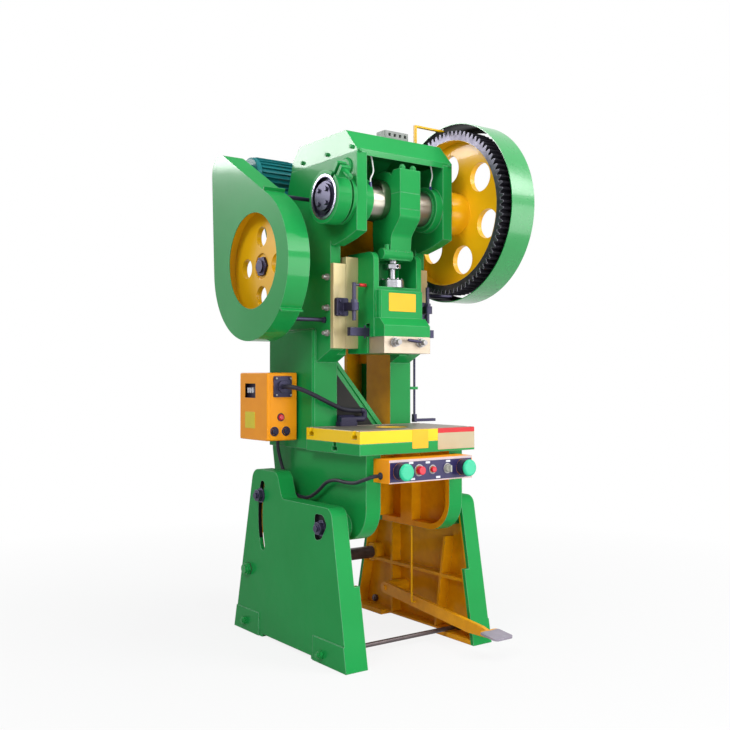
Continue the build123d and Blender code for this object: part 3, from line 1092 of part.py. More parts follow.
def motor_body():
    """Finned motor with end shields, feet and a terminal box behind."""
    x0, x1 = MOTOR_LEFT_X, MOTOR_LEFT_X + MOTOR_LENGTH
    body = rod_x(MOTOR_R, x0 + 30, x1 - 50, MOTOR_Y, MOTOR_Z)
    fin = Pos(0, MOTOR_R + MOTOR_FIN / 2 - 1) * Rectangle(3.5, MOTOR_FIN + 2)
    for i in range(MOTOR_FINS):
        body += slab_x(Pos(MOTOR_Y, MOTOR_Z) * (Rot(Z=i * 360 / MOTOR_FINS) * fin), x0 + 34, x1 - 56)
    shield = rod_x(MOTOR_R + 4, x0 + 12, x0 + 32, MOTOR_Y, MOTOR_Z)
    cowl = rod_x(MOTOR_R + 6, x1 - 52, x1, MOTOR_Y, MOTOR_Z)
    body += chamfer(shield.edges().group_by(Axis.X)[0], 4) + rod_x(50, x0, x0 + 13, MOTOR_Y, MOTOR_Z)
    body += fillet(cowl.edges().group_by(Axis.X)[-1], 12)
    foot_z = MOTOR_Z - MOTOR_FOOT
    feet = block(x0 + 50, x1 - 70, MOTOR_Y - 88, MOTOR_Y + 88, foot_z, foot_z + 14)
    feet += block(x0 + 60, x1 - 80, MOTOR_Y - 62, MOTOR_Y + 62, foot_z + 10, MOTOR_Z - 40)
    lid = block(x0 + 70, x0 + 160, MOTOR_Y + 56, MOTOR_Y + MOTOR_R + 38, MOTOR_Z - 34, MOTOR_Z + 44)
    body += feet + fillet(lid.edges().filter_by(Axis.Y), 8)
    return body - rod_x(MOTOR_SHAFT_R + RUN_FIT, x0 - 1, x0 + 41, MOTOR_Y, MOTOR_Z)


def motor_bracket():
    """Welded bracket bolted to the frame's back, with the shelf that the motor stands on."""
    x0, x1 = MOTOR_LEFT_X + 40, MOTOR_LEFT_X + MOTOR_LENGTH - 60
    top = MOTOR_Z - MOTOR_FOOT
    thick = MOTOR_PLATE_THICK
    shelf = block(x0, x1, 240, MOTOR_Y + 96, top - thick, top)
    back = block(-HEAD_HALF, x1, COLUMN_BACK_Y, COLUMN_BACK_Y + thick, 1440, top - thick + 1)
    bracket = shelf + back
    gusset = rounded([(COLUMN_BACK_Y + 2, 1500, 0), (COLUMN_BACK_Y + 2, top - 1, 0), (MOTOR_Y + 90, top - 1, 0)])
    for x in (-HEAD_HALF + 6, x1 - 6 - thick):
        bracket += slab_x(gusset, x, x + thick)
    return bracket


# Guards
def belt_guard():
    """Sheet cover over flywheel and belts: face with a round window, band, and a narrow return."""
    wheel, motor = (SHAFT_Y, SHAFT_Z), (MOTOR_Y, MOTOR_Z)
    x0, x1, sheet = BELT_GUARD_LEFT_X, BELT_GUARD_RIGHT_X, BELT_GUARD_SHEET
    outer = two_circle_loop(wheel, BELT_GUARD_R, motor, BELT_GUARD_SMALL_R)
    inner = two_circle_loop(wheel, BELT_GUARD_R - sheet, motor, BELT_GUARD_SMALL_R - sheet)
    lip = two_circle_loop(wheel, BELT_GUARD_R - BELT_GUARD_RETURN, motor, BELT_GUARD_SMALL_R - 8)
    guard = slab_x(outer, x0, x1) - slab_x(inner, x0 + sheet, x1 - sheet)
    guard -= slab_x(lip, x1 - sheet - 1, x1 + 1)
    guard -= rod_x(BELT_GUARD_WINDOW_R, x0 - 1, x0 + sheet + 1, BELT_GUARD_WINDOW_Y, BELT_GUARD_WINDOW_Z)
    for y, z, degrees in ((-153, 1314, 217), (-25, 1779, 120)):
        lug = Pos(0, y, z) * (Rot(X=degrees) * block(x0 + 1, x1, -8, 14, -3, 3))
        guard += lug - slab_x(inner, x0, x1)
    return guard


def gear_guard():
    """Rolled band round the big gear, bulged out round the pinion, with a narrow return."""
    gear_at, pinion_at = (CRANK_Y, CRANK_Z), (SHAFT_Y, SHAFT_Z)
    x0, x1, sheet = GEAR_GUARD_LEFT_X, GEAR_GUARD_RIGHT_X, GEAR_GUARD_SHEET

    def outline(inset):
        ring = Pos(*gear_at) * Circle(GEAR_GUARD_R - inset)
        return ring + two_circle_loop(gear_at, 180 - inset, pinion_at, PINION_LOBE_R - inset)

    guard = slab_x(outline(0), x0, x1) - slab_x(outline(sheet), x0 - 1, x1 - sheet)
    return guard - slab_x(outline(GEAR_GUARD_RETURN), x1 - sheet - 1, x1 + 1)


def guard_stays():
    """Round stays with nuts that carry both guards off the frame's sides."""
    stays = []
    left = BELT_GUARD_RIGHT_X
    for y, z in ((-101, 1282), (-46, 1757), (263, 1274)):
        stay = rod_x(STAY_R, left, -HEAD_HALF, y, z)
        stays.append(stay + hex_x(13, -HEAD_HALF - 10, -HEAD_HALF, y, z))
    right = GEAR_GUARD_RIGHT_X - GEAR_GUARD_SHEET
    for y, z in ((129, 1748), (-104, 1403)):
        stays.append(rod_x(STAY_R, HEAD_HALF, right, y, z) + hex_x(13, HEAD_HALF, HEAD_HALF + 10, y, z))
    return group(*stays)


def guard_bracket():
    """Bent flat bar from the hood to the top of the gear guard, with its bolt there."""
    z0, z1 = HOOD_TOP_Z, CRANK_Z + GEAR_GUARD_R - 14
    x, y = BRACKET_X, -180
    bar = block(x, x + 7, y - 7, y + 7, z0, z1) + block(x, GEAR_GUARD_LEFT_X + 8, y - 7, y + 7, z1 - 7, z1)
    foot = block(x - 9, x + 18, y - 10, y + 10, z0, z0 + 4)
    return bar + foot


def grease_pipes():
    """Thin nylon pipes from the hood's roof down to fittings on the two crank bearings."""
    bearing = rod_x(CRANK_BOSS_R, -HEAD_HALF, HEAD_HALF, CRANK_Y, CRANK_Z)
    pipes = []
    for route in GREASE_ROUTES:
        x, y, z = route[0]
        fitting = hex_z(6, x, y, z - 30, z + 0.5) - bearing
        pipes.append(fitting + cord_tube(route, GREASE_PIPE_R))
    return group(*pipes)


def throat_shield():
    """Triangular sheet across the lower left of the throat, edged with a flat bar."""
    y0, y1 = COLUMN_FRONT_Y + 6, COLUMN_FRONT_Y + 9
    left, right = -THROAT_HALF + FACE_GAP, THROAT_HALF - FACE_GAP
    top, bottom = JAW_BACK_Z + 8, BED_TOP_Z + FACE_GAP
    sheet = rounded([(left, bottom, 0), (left, top, 0), (right, bottom, 0)])
    shield = slab_y(sheet, y0, y1)
    slope = math.atan2(top - bottom, right - left)
    off_x, off_z = 34 * math.sin(slope), 34 * math.cos(slope)
    bar = rounded([(left, top, 0), (right, bottom, 0), (right - off_x, bottom, 0), (left, top - off_z, 0)])
    return shield + (slab_y(bar, COLUMN_FRONT_Y, y1) & slab_y(sheet, COLUMN_FRONT_Y - 1, y1 + 1))


# Treadle and clutch linkage
def treadle():
    """Flat bar on its pivot pin, with the foot plate welded to its front end."""
    x0, x1 = TREADLE_X - TREADLE_THICK / 2, TREADLE_X + TREADLE_THICK / 2
    length = math.hypot(TREADLE_PIVOT_Y - TREADLE_FRONT_Y, TREADLE_PIVOT_Z - TREADLE_FRONT_Z)
    half = TREADLE_TALL / 2
    bar = rounded([
        (-length + 130, -half, 0), (-length, -half + 17, 0), (-length, half - 10, 0), (-length + 60, half, 0),
        (26, half, 22), (26, -half, 22)])
    turn = Pos(0, TREADLE_PIVOT_Y, TREADLE_PIVOT_Z) * Rot(X=TREADLE_ANGLE)
    lever = turn * slab_x(bar, x0, x1)
    lever -= rod_x(LINK_R + 1, x0 - 1, x1 + 1, LINK_Y, link_hook_z())
    lever += rod_x(TREADLE_PIN_R, x0 - 8, LEG_OUTER_X - LEG_SKIN, TREADLE_PIVOT_Y, TREADLE_PIVOT_Z)
    plate = block(TREADLE_X - PEDAL_WIDE / 2, TREADLE_X + PEDAL_WIDE / 2, -length - PEDAL_LONG + 30, -length + 30,
                  half - 12, half - 12 + PEDAL_THICK)
    return lever + turn * fillet(plate.edges().filter_by(Axis.Z), 18)


def link_hook_z():
    """Height of the hole where the pull rod hooks into the treadle."""
    return TREADLE_PIVOT_Z + (LINK_Y - TREADLE_PIVOT_Y) * math.tan(math.radians(TREADLE_ANGLE))


def pull_rod():
    """Thin rod hooked into the treadle and rising into the frame's right cheek."""
    hook_z = link_hook_z()
    end_x = TREADLE_X + TREADLE_THICK / 2 + 8
    corners = ((end_x, LINK_Y, hook_z), (LINK_X, LINK_Y, hook_z), (LINK_X, LINK_Y, LINK_TOP_Z))
    route = FilletPolyline(*corners, radius=7)
    section = Plane(origin=route @ 0, z_dir=route % 0) * Circle(LINK_R)
    return sweep(section, path=route)


def clutch_rod():
    """Upright rod beside the right column, with its arm at table height."""
    rod = rod_z(CLUTCH_ROD_R, CLUTCH_ROD_X, CLUTCH_ROD_Y, CLUTCH_ARM_Z, CLUTCH_ROD_TOP_Z)
    rod += block(CLUTCH_ROD_X - 6, CLUTCH_ROD_X + 110, CLUTCH_ROD_Y - 11, CLUTCH_ROD_Y + 11,
                 CLUTCH_ARM_Z - 6, CLUTCH_ARM_Z + 6)
    return rod + rod_z(11, CLUTCH_ROD_X, CLUTCH_ROD_Y, CLUTCH_ARM_Z - 8, CLUTCH_ARM_Z + 26)


# Electrical parts
def electrical_box():
    """Sheet-steel control box, open on its left for the door, on four standoffs."""
    body_left = EBOX_LEFT_X + EBOX_DOOR_THICK
    box = block(body_left, EBOX_RIGHT_X, EBOX_FRONT_Y, EBOX_BACK_Y, EBOX_BOTTOM_Z, EBOX_TOP_Z)
    box = fillet(box.edges().filter_by(Axis.X), EBOX_CORNER_R)
    sheet = EBOX_SHEET
    box -= block(body_left - 1, EBOX_RIGHT_X - sheet, EBOX_FRONT_Y + sheet, EBOX_BACK_Y - sheet,
                 EBOX_BOTTOM_Z + sheet, EBOX_TOP_Z - sheet)
    for y in (EBOX_FRONT_Y + 40, EBOX_BACK_Y - 40):
        for z in (EBOX_BOTTOM_Z + 40, EBOX_TOP_Z - 40):
            box += rod_x(9, EBOX_RIGHT_X - 1, -COLUMN_HALF, y, z)
    box -= rod_z(LEAD_R + RUN_FIT, LEAD_ROUTE[0][0], LEAD_ROUTE[0][1], EBOX_BOTTOM_Z - 1, EBOX_BOTTOM_Z + sheet + 1)
    hose_x, hose_z = HOSE_ROUTE[0][0], HOSE_ROUTE[0][2]
    box -= rod_y(HOSE_R + 4, hose_x, EBOX_FRONT_Y - 1, EBOX_FRONT_Y + sheet + 1, hose_z)
    for x in (-365, -312):
        box -= rod_y(10 + FACE_GAP, x, EBOX_FRONT_Y - 1, EBOX_FRONT_Y + sheet + 1, BOX_BUTTON_Z)
    return box - rod_y(9 + RUN_FIT, -336, EBOX_FRONT_Y - 1, EBOX_FRONT_Y + sheet + 1, LAMP_Z)


def box_door():
    """Pressed door with a rolled edge, hinged at the back, with the switch window in it."""
    sheet = EBOX_SHEET
    x1 = EBOX_LEFT_X + EBOX_DOOR_THICK - FACE_GAP
    door = block(EBOX_LEFT_X, x1, EBOX_FRONT_Y, EBOX_BACK_Y, EBOX_BOTTOM_Z, EBOX_TOP_Z)
    door = fillet(door.edges().filter_by(Axis.X), EBOX_CORNER_R)
    door = fillet(door.edges().group_by(Axis.X)[0], 5)
    door -= block(EBOX_LEFT_X + sheet, x1 + 1, EBOX_FRONT_Y + sheet, EBOX_BACK_Y - sheet,
                  EBOX_BOTTOM_Z + sheet, EBOX_TOP_Z - sheet)
    for z in (EBOX_BOTTOM_Z + 30, EBOX_TOP_Z - 60):
        door += rod_z(HINGE_R, EBOX_LEFT_X + 13, EBOX_BACK_Y + HINGE_R - 0.3, z, z + 30)
    return door - block(EBOX_LEFT_X - 1, EBOX_LEFT_X + sheet + 1, EBOX_BACK_Y - 130, EBOX_BACK_Y - 42,
                        EBOX_TOP_Z - 102, EBOX_TOP_Z - 44)


def hose_flange():
    """Square flange with four screws and the socket that the hose leaves from."""
    x, z = HOSE_ROUTE[0][0], HOSE_ROUTE[0][2]
    y = EBOX_FRONT_Y
    plate = block(x - 42, x + 42, y - 5, y, z - 42, z + 42)
    plate = fillet(plate.edges().filter_by(Axis.Y), 6)
    plate += rod_y(24, x, HOSE_ROUTE[0][1], y - 4, z)
    for dx in (-33, 33):
        for dz in (-33, 33):
            plate += rod_y(5, x + dx, y - 8, y - 4, z + dz)
    return plate - rod_y(5, x, y - 14, y + 1, z)


def cord_tube(route, radius, cap=None):
    """Round tube along straight runs joined by the largest arcs that the runs allow."""
    points = [Vector(*point) for point in route]
    radii = []
    for before, here, after in zip(points, points[1:], points[2:]):
        half_turn = math.radians((here - before).get_angle(after - here)) / 2
        shorter = min((here - before).length, (after - here).length)
        arc = 0.45 * shorter / math.tan(half_turn)
        radii.append(min(arc, cap) if cap else arc)
    print("arc radii", [round(value) for value in radii])
    path = FilletPolyline(*route, radius=radii)
    section = Plane(origin=path @ 0, z_dir=path % 0) * Circle(radius)
    tube = sweep(section, path=path)
    print("tube length", round(path.length), "volume share", round(tube.volume / (math.pi * radius ** 2 * path.length), 4))
    return tube


def foot_switch():
    """Foot switch left on the table's back strip: base, sloped flap and the elbow for its hose."""
    x0, x1, y0, y1 = -145, -60, -80, -40
    z = TABLE_TOP_Z
    base = fillet(block(x0, x1, y0, y1, z, z + 16).edges().filter_by(Axis.Z), 8)
    flap = rounded([
        (y0 + 3, z + 10, 3), (y0 + 3, z + 34, 3), (y1 - 8, z + 46, 6), (y1 - 5, z + 10, 0), (y1 - 16, z + 10, 0)])
    body = base + slab_x(flap, x0 + 6, x1 - 6)
    x, y, height = HOSE_ROUTE[-1]
    bend = FilletPolyline((x, y, height), (x + 20, y, height), (x + 20, y, z + 26), (x1 - 20, y, z + 26), radius=13)
    elbow = sweep(Plane(origin=bend @ 0, z_dir=bend % 0) * Circle(HOSE_R + 2), path=bend)
    return body + elbow


def button_box():
    """Folded sheet box on the frame's front, open at its back, with holes for its buttons."""
    half, sheet = BUTTON_BOX_HALF, BUTTON_BOX_SHEET
    z0, z1 = BUTTON_BOX_BOTTOM_Z, BUTTON_BOX_BOTTOM_Z + BUTTON_BOX_TALL
    box = block(-half, half, BUTTON_BOX_FRONT_Y, BOX_FRONT_Y, z0, z1)
    box -= block(-half + sheet, half - sheet, BUTTON_BOX_FRONT_Y + sheet, BOX_FRONT_Y - sheet,
                 z0 + sheet, z1 - sheet)
    lead_end = LEAD_ROUTE[-1]
    box -= rod_x(LEAD_R + RUN_FIT, -half - 1, -half + sheet + 1, lead_end[1], lead_end[2])
    for x, radius in ((-PALM_X, 12), (PALM_X, 12), (STOP_X, 8), (INCH_X, 8), (SELECTOR_X, 8)):
        box -= rod_y(radius + FACE_GAP, x, BUTTON_BOX_FRONT_Y - 1, BUTTON_BOX_FRONT_Y + sheet + 1, BUTTON_Z)
    return box


def palm_shrouds():
    """Open collars round the two palm buttons."""
    collar = rod_y(SHROUD_R, PALM_X, BUTTON_BOX_FRONT_Y - SHROUD_LONG, BUTTON_BOX_FRONT_Y, BUTTON_Z)
    collar -= rod_y(SHROUD_R - 4, PALM_X, BUTTON_BOX_FRONT_Y - SHROUD_LONG - 1, BUTTON_BOX_FRONT_Y - 3, BUTTON_Z)
    collar -= rod_y(12 + FACE_GAP, PALM_X, BUTTON_BOX_FRONT_Y - 4, BUTTON_BOX_FRONT_Y + 1, BUTTON_Z)
    return both_sides(collar)


def palm_button(x):
    front = BUTTON_BOX_FRONT_Y - SHROUD_LONG
    cap = rod_y(PALM_R + 5, x, front - 18, front - PALM_TRAVEL - 2, BUTTON_Z)
    cap = fillet(cap.edges().group_by(Axis.Y)[0], 8)
    return cap + rod_y(12, x, front - 12, BUTTON_BOX_FRONT_Y + 14, BUTTON_Z)


def push_button(x, cap_r, cap_long):
    """Button whose cap stands on a bezel in front of the panel."""
    panel = BUTTON_BOX_FRONT_Y
    cap = rod_y(cap_r, x, panel - cap_long - PUSH_TRAVEL - 1, panel - PUSH_TRAVEL - 1, BUTTON_Z)
    cap = fillet(cap.edges().group_by(Axis.Y)[0], 3)
    return cap + rod_y(8, x, panel - cap_long, panel + 12, BUTTON_Z)


def selector_knob():
    panel = BUTTON_BOX_FRONT_Y
    knob = rod_y(13, SELECTOR_X, panel - 12, panel - FACE_GAP, BUTTON_Z)
    knob += rod_y(8, SELECTOR_X, panel - 10, panel + 12, BUTTON_Z)
    grip = block(SELECTOR_X - 4, SELECTOR_X + 4, panel - 24, panel - 11, BUTTON_Z - 13, BUTTON_Z + 13)
    return knob + fillet(grip.edges().filter_by(Axis.Y), 3)


def box_button(x):
    y = EBOX_FRONT_Y
    cap = rod_y(13, x, y - 11, y - PUSH_TRAVEL - 1, BOX_BUTTON_Z)
    cap = fillet(cap.edges().group_by(Axis.Y)[0], 3)
    return cap + rod_y(10, x, y - 9, y + 12, BOX_BUTTON_Z)


def pilot_lamp():
    y = EBOX_FRONT_Y
    lens = rod_y(12, -336, y - 10, y, LAMP_Z)
    lens = fillet(lens.edges().group_by(Axis.Y)[0], 5)
    return lens + rod_y(9, -336, y - 1, y + 12, LAMP_Z)


def main():
    rod = connecting_rod()
    lead = cord_tube(LEAD_ROUTE, LEAD_R)
    hose = cord_tube(HOSE_ROUTE, HOSE_R)
    parts = {
        "left_leg": left_leg(),
        "right_leg": right_leg(),
        "tie_rods": tie_rods(),
        "tilt_bolts": tilt_bolts(),
        "frame_casting": frame_casting(),
        "bolster_plate": bolster_plate(),
        "head_cover": head_cover(),
        "roof_vent": roof_vent(),
        "crank_sleeves": crank_sleeves(),
        "crankshaft": crankshaft(),
        "brake_drum": brake_drum(),
        "brake_band": brake_band(),
        "brake_bolt": brake_bolt(),
        "conrod_body": conrod_body(rod),
        "conrod_cap": conrod_cap(rod),
        "conrod_bolts": conrod_bolts(),
        "slide_body": slide_body(),
        "shank_clamp": shank_clamp(),
        "clamp_studs": clamp_studs(),
        "ball_cap": ball_cap(),
        "adjusting_screw": adjusting_screw(),
        "gibs": gibs(),
        "gib_keepers": gib_keepers(),
        "gib_screws": gib_screws(),
        "knockout_bar": knockout_bar(),
        "knockout_brackets": knockout_brackets(),
        "knockout_screws": knockout_screws(),
        "big_gear": big_gear(),
        "pinion_shaft": pinion_shaft(),
        "shaft_bushes": shaft_bushes(),
        "flywheel": flywheel(),
        "drive_belts": drive_belts(),
        "motor_body": motor_body(),
        "motor_pulley": motor_pulley(),
        "motor_bracket": motor_bracket(),
        "belt_guard": belt_guard(),
        "gear_guard": gear_guard(),
        "guard_stays": guard_stays(),
        "guard_bracket": guard_bracket(),
        "grease_pipes": grease_pipes(),
        "throat_shield": throat_shield(),
        "treadle": treadle(),
        "pull_rod": pull_rod(),
        "clutch_rod": clutch_rod(),
        "electrical_box": electrical_box(),
        "box_door": box_door(),
        "hose_flange": hose_flange(),
        "hose": hose,
        "foot_switch": foot_switch(),
        "button_lead": lead,
        "button_box": button_box(),
        "palm_shrouds": palm_shrouds(),
        "left_palm_button": palm_button(-PALM_X),
        "right_palm_button": palm_button(PALM_X),
        "stop_button": push_button(STOP_X, 16, 18),
        "inch_button": push_button(INCH_X, 11, 9),
        "selector_knob": selector_knob(),
        "box_button_left": box_button(-365),
        "box_button_right": box_button(-312),
        "pilot_lamp": pilot_lamp(),
    }
    os.makedirs("parts", exist_ok=True)
    for name, shape in parts.items():
        export_step(shape, f"parts/{name}.step")
    print(len(parts), "nodes")


main()
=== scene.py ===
# %% [markdown]
# # A stamping press, dressed for its portrait
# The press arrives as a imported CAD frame: every casting, shaft and button is already in place, in
# metres, with the floor at Z = 0 and the operator standing on the -Y side. This lesson gives it
# a camera, lamps, paint, metal and rubber, and the small parts that are too fine for the frame.
# Loading comes first: the finishes go on its nodes, and the small parts ride on its bodies.

# %% Load the frame
import math

import bpy
import bmesh
from mathutils import Matrix, Vector


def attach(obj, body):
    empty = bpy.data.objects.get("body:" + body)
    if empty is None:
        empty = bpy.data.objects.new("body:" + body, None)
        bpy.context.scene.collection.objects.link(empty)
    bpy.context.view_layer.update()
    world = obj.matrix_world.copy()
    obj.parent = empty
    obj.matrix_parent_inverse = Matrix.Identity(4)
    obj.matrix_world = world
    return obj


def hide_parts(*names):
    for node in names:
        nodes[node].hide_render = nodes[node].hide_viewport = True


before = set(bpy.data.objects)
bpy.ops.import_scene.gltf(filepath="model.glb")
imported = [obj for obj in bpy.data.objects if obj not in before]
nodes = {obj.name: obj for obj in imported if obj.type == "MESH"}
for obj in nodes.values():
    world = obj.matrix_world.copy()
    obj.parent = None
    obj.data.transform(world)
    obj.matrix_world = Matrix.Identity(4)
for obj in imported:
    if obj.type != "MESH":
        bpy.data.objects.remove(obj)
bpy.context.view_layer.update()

# %% [markdown]
# ## The camera
# The photographer stood in front of the press and to its left, a little under four metres away,
# and held the lens almost level, about a metre above the floor. A lens of 46 mm on a 36 mm sensor
# gives the same perspective. The direction is built from the heading and the small upward tilt.

# %% Camera
CAMERA_AT = Vector((-2.2644, -3.1679, 1.0615))
CAMERA_HEADING = math.radians(35.939)
CAMERA_TILT = 0.012
LENS_MM, SENSOR_MM = 46.31, 36.0
SEES_TO = 100.0

camera = bpy.data.objects.new("photographer", bpy.data.cameras.new("photographer"))
bpy.context.scene.collection.objects.link(camera)
camera.data.lens = LENS_MM
camera.data.sensor_width = SENSOR_MM
camera.data.clip_end = SEES_TO
looking = Vector((
    math.sin(CAMERA_HEADING) * math.cos(CAMERA_TILT),
    math.cos(CAMERA_HEADING) * math.cos(CAMERA_TILT),
    math.sin(CAMERA_TILT)))
camera.location = CAMERA_AT
camera.rotation_euler = looking.to_track_quat("-Z", "Y").to_euler()
bpy.context.scene.camera = camera
print("camera at", tuple(CAMERA_AT))

# %% [markdown]
# ## The hose of the foot switch
# A rubber hose leaves the socket on the electrical box, swings out past the column and ends in the
# elbow of the foot switch that somebody left on the table. Real hose has one smooth line, so it
# is a NURBS curve with a round bevel: the control points pull the line along without corners. Each
# point carries the hose's radius, because a curve's bounding box grows by its points' radii.

# %% Foot switch hose
HOSE_RADIUS = 0.009
HOSE_ROUTE = (
    (-0.329, 0.052, 1.020), (-0.329, 0.020, 1.020), (-0.316, -0.030, 1.016),
    (-0.284, -0.062, 0.998), (-0.236, -0.074, 0.974), (-0.182, -0.072, 0.950),
    (-0.132, -0.064, 0.932), (-0.084, -0.060, 0.923), (-0.034, -0.060, 0.923))


def round_curve(name, points, radius):
    """A smooth tube along control points."""
    curve = bpy.data.curves.new(name, "CURVE")
    curve.dimensions = "3D"
    curve.bevel_depth = 1.0
    curve.bevel_resolution = 5
    curve.resolution_u = 10
    curve.use_fill_caps = True
    spline = curve.splines.new("NURBS")
    spline.points.add(len(points) - 1)
    for spot, place in zip(spline.points, points):
        spot.co = (*place, 1.0)
        spot.radius = radius
    spline.order_u = 3
    spline.use_endpoint_u = True
    tube = bpy.data.objects.new(name, curve)
    bpy.context.scene.collection.objects.link(tube)
    return tube


hose = round_curve("foot_switch_hose", HOSE_ROUTE, HOSE_RADIUS)
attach(hose, "frame")
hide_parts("hose")
print("hose with", len(HOSE_ROUTE), "control points")

# %% [markdown]
# ## Room and lamps
# The photograph is a cut-out on white with broad, soft light. A pale floor takes the shadow. Gloss
# paint shows what stands around it, so the sky is white for the eye and for mirrored rays, while
# the rays that only gather light meet a dim one. Floor paint works in the same way. Area lamps do
# the rest: the key and a screen in front on the right, weaker ones on the left and low in front,
# and one overhead. A wide screen behind on the left is mirrored by the sides of the hood and of the
# belt guard, but adds no light of its own to matt paint.

# %% Floor, world and lamps
FLOOR_COLOUR = (0.62, 0.62, 0.62, 1.0)
FLOOR_HALF = 40
FLOOR_ROUGHNESS = 0.9
FLOOR_WHITE = 0.86
FADE_FROM, FADE_TO = 0.9, 3.2
SKY_COLOUR = (0.94, 0.97, 1.0, 1.0)
SKY_LIGHT = 0.34


def shader_node(tree, kind, settings=None, links=None, values=None):
    """One node with its settings, its links and its plain values."""
    node = tree.nodes.new(kind)
    for key, value in (settings or {}).items():
        setattr(node, key, value)
    for key, value in (values or {}).items():
        node.inputs[key].default_value = value
    for key, socket in (links or {}).items():
        tree.links.new(socket, node.inputs[key])
    return node


bpy.context.scene.view_settings.view_transform = "Standard"
world = bpy.data.worlds.new("studio")
bpy.context.scene.world = world
world.use_nodes = True
sky = world.node_tree
even = sky.nodes["Background"]
even.inputs["Color"].default_value = SKY_COLOUR
even.inputs["Strength"].default_value = SKY_LIGHT
white = shader_node(sky, "ShaderNodeBackground",
                    values={"Color": (1, 1, 1, 1), "Strength": 1.0})


def looked_at(tree):
    """1 for the rays that show the background: seen, mirrored or passed through."""
    rays = shader_node(tree, "ShaderNodeLightPath").outputs
    first = shader_node(tree, "ShaderNodeMath", {"operation": "MAXIMUM"}, {
        0: rays["Is Camera Ray"], 1: rays["Is Glossy Ray"]})
    return shader_node(tree, "ShaderNodeMath", {"operation": "MAXIMUM"}, {
        0: first.outputs[0], 1: rays["Is Transmission Ray"]}).outputs[0]


sky_mix = shader_node(sky, "ShaderNodeMixShader", links={
    0: looked_at(sky), 1: even.outputs[0], 2: white.outputs[0]})
sky.links.new(sky_mix.outputs[0], sky.nodes["World Output"].inputs["Surface"])

floor_mesh = bpy.data.meshes.new("studio_floor")
floor_mesh.from_pydata([(side * FLOOR_HALF, end * FLOOR_HALF, 0)
                        for side, end in ((-1, -1), (1, -1), (1, 1), (-1, 1))],
                       [], [(0, 1, 2, 3)])
floor = bpy.data.objects.new("studio_floor", floor_mesh)
bpy.context.scene.collection.objects.link(floor)
floor_paint = bpy.data.materials.new("studio_floor")
floor_paint.use_nodes = True
wash = floor_paint.node_tree
matt = wash.nodes["Principled BSDF"]
matt.inputs["Base Color"].default_value = FLOOR_COLOUR
matt.inputs["Roughness"].default_value = FLOOR_ROUGHNESS
spot = shader_node(wash, "ShaderNodeTexCoord")
far = shader_node(wash, "ShaderNodeVectorMath", {"operation": "LENGTH"},
                  {0: spot.outputs["Object"]})
fade = shader_node(wash, "ShaderNodeMapRange", links={"Value": far.outputs["Value"]}, values={
    "From Min": FADE_FROM, "From Max": FADE_TO, "To Min": FLOOR_WHITE, "To Max": 1.0})
share = shader_node(wash, "ShaderNodeMath", {"operation": "MULTIPLY"}, {
    0: looked_at(wash), 1: fade.outputs[0]})
glow = shader_node(wash, "ShaderNodeEmission", values={"Color": (1, 1, 1, 1), "Strength": 1.0})
blend = shader_node(wash, "ShaderNodeMixShader", links={
    0: share.outputs[0], 1: matt.outputs[0], 2: glow.outputs[0]})
wash.links.new(blend.outputs[0], wash.nodes["Material Output"].inputs["Surface"])
floor_mesh.materials.append(floor_paint)


def softbox(name, at, towards, width, height, watts):
    """A rectangular area lamp aimed at a point."""
    lamp = bpy.data.lights.new(name, "AREA")
    lamp.shape = "RECTANGLE"
    lamp.size = width
    lamp.size_y = height
    lamp.energy = watts
    holder = bpy.data.objects.new(name, lamp)
    bpy.context.scene.collection.objects.link(holder)
    holder.location = at
    holder.rotation_euler = (Vector(towards) - Vector(at)).to_track_quat("-Z", "Y").to_euler()
    print("lamp", name, watts, "W")
    return holder


softbox("key", (2.6, -3.6, 3.9), (0, 0, 1.1), 2.4, 2.0, 130)
softbox("high_left", (-2.8, -1.5, 3.1), (0.3, -0.1, 1.9), 1.6, 1.4, 62)
softbox("overhead", (0.4, -0.9, 4.6), (0, 0, 1.0), 2.6, 2.4, 60)
softbox("front_screen", (2.7, -4.2, 1.2), (0, -0.3, 0.9), 2.6, 2.2, 62)
softbox("low_front", (-0.7, -2.9, 0.8), (0.2, 0, 0.4), 1.0, 0.8, 24)
screen = softbox("screen_behind_left", (-3.0, 3.6, 3.6), (-0.3, 0, 1.9), 3.2, 1.5, 235)
screen.visible_diffuse = False

# %% [markdown]
# ## Writing finishes as sums
# A procedural finish is a little calculation about a point on the surface: where it is, which way
# it faces, how rough the noise is there. Blender stores that as a net of nodes. To keep it
# readable, `Wire` wraps one socket and lets Python's own operators add the Math nodes, and
# `Finish.add` makes any other node from its type, its settings and what goes into its sockets.

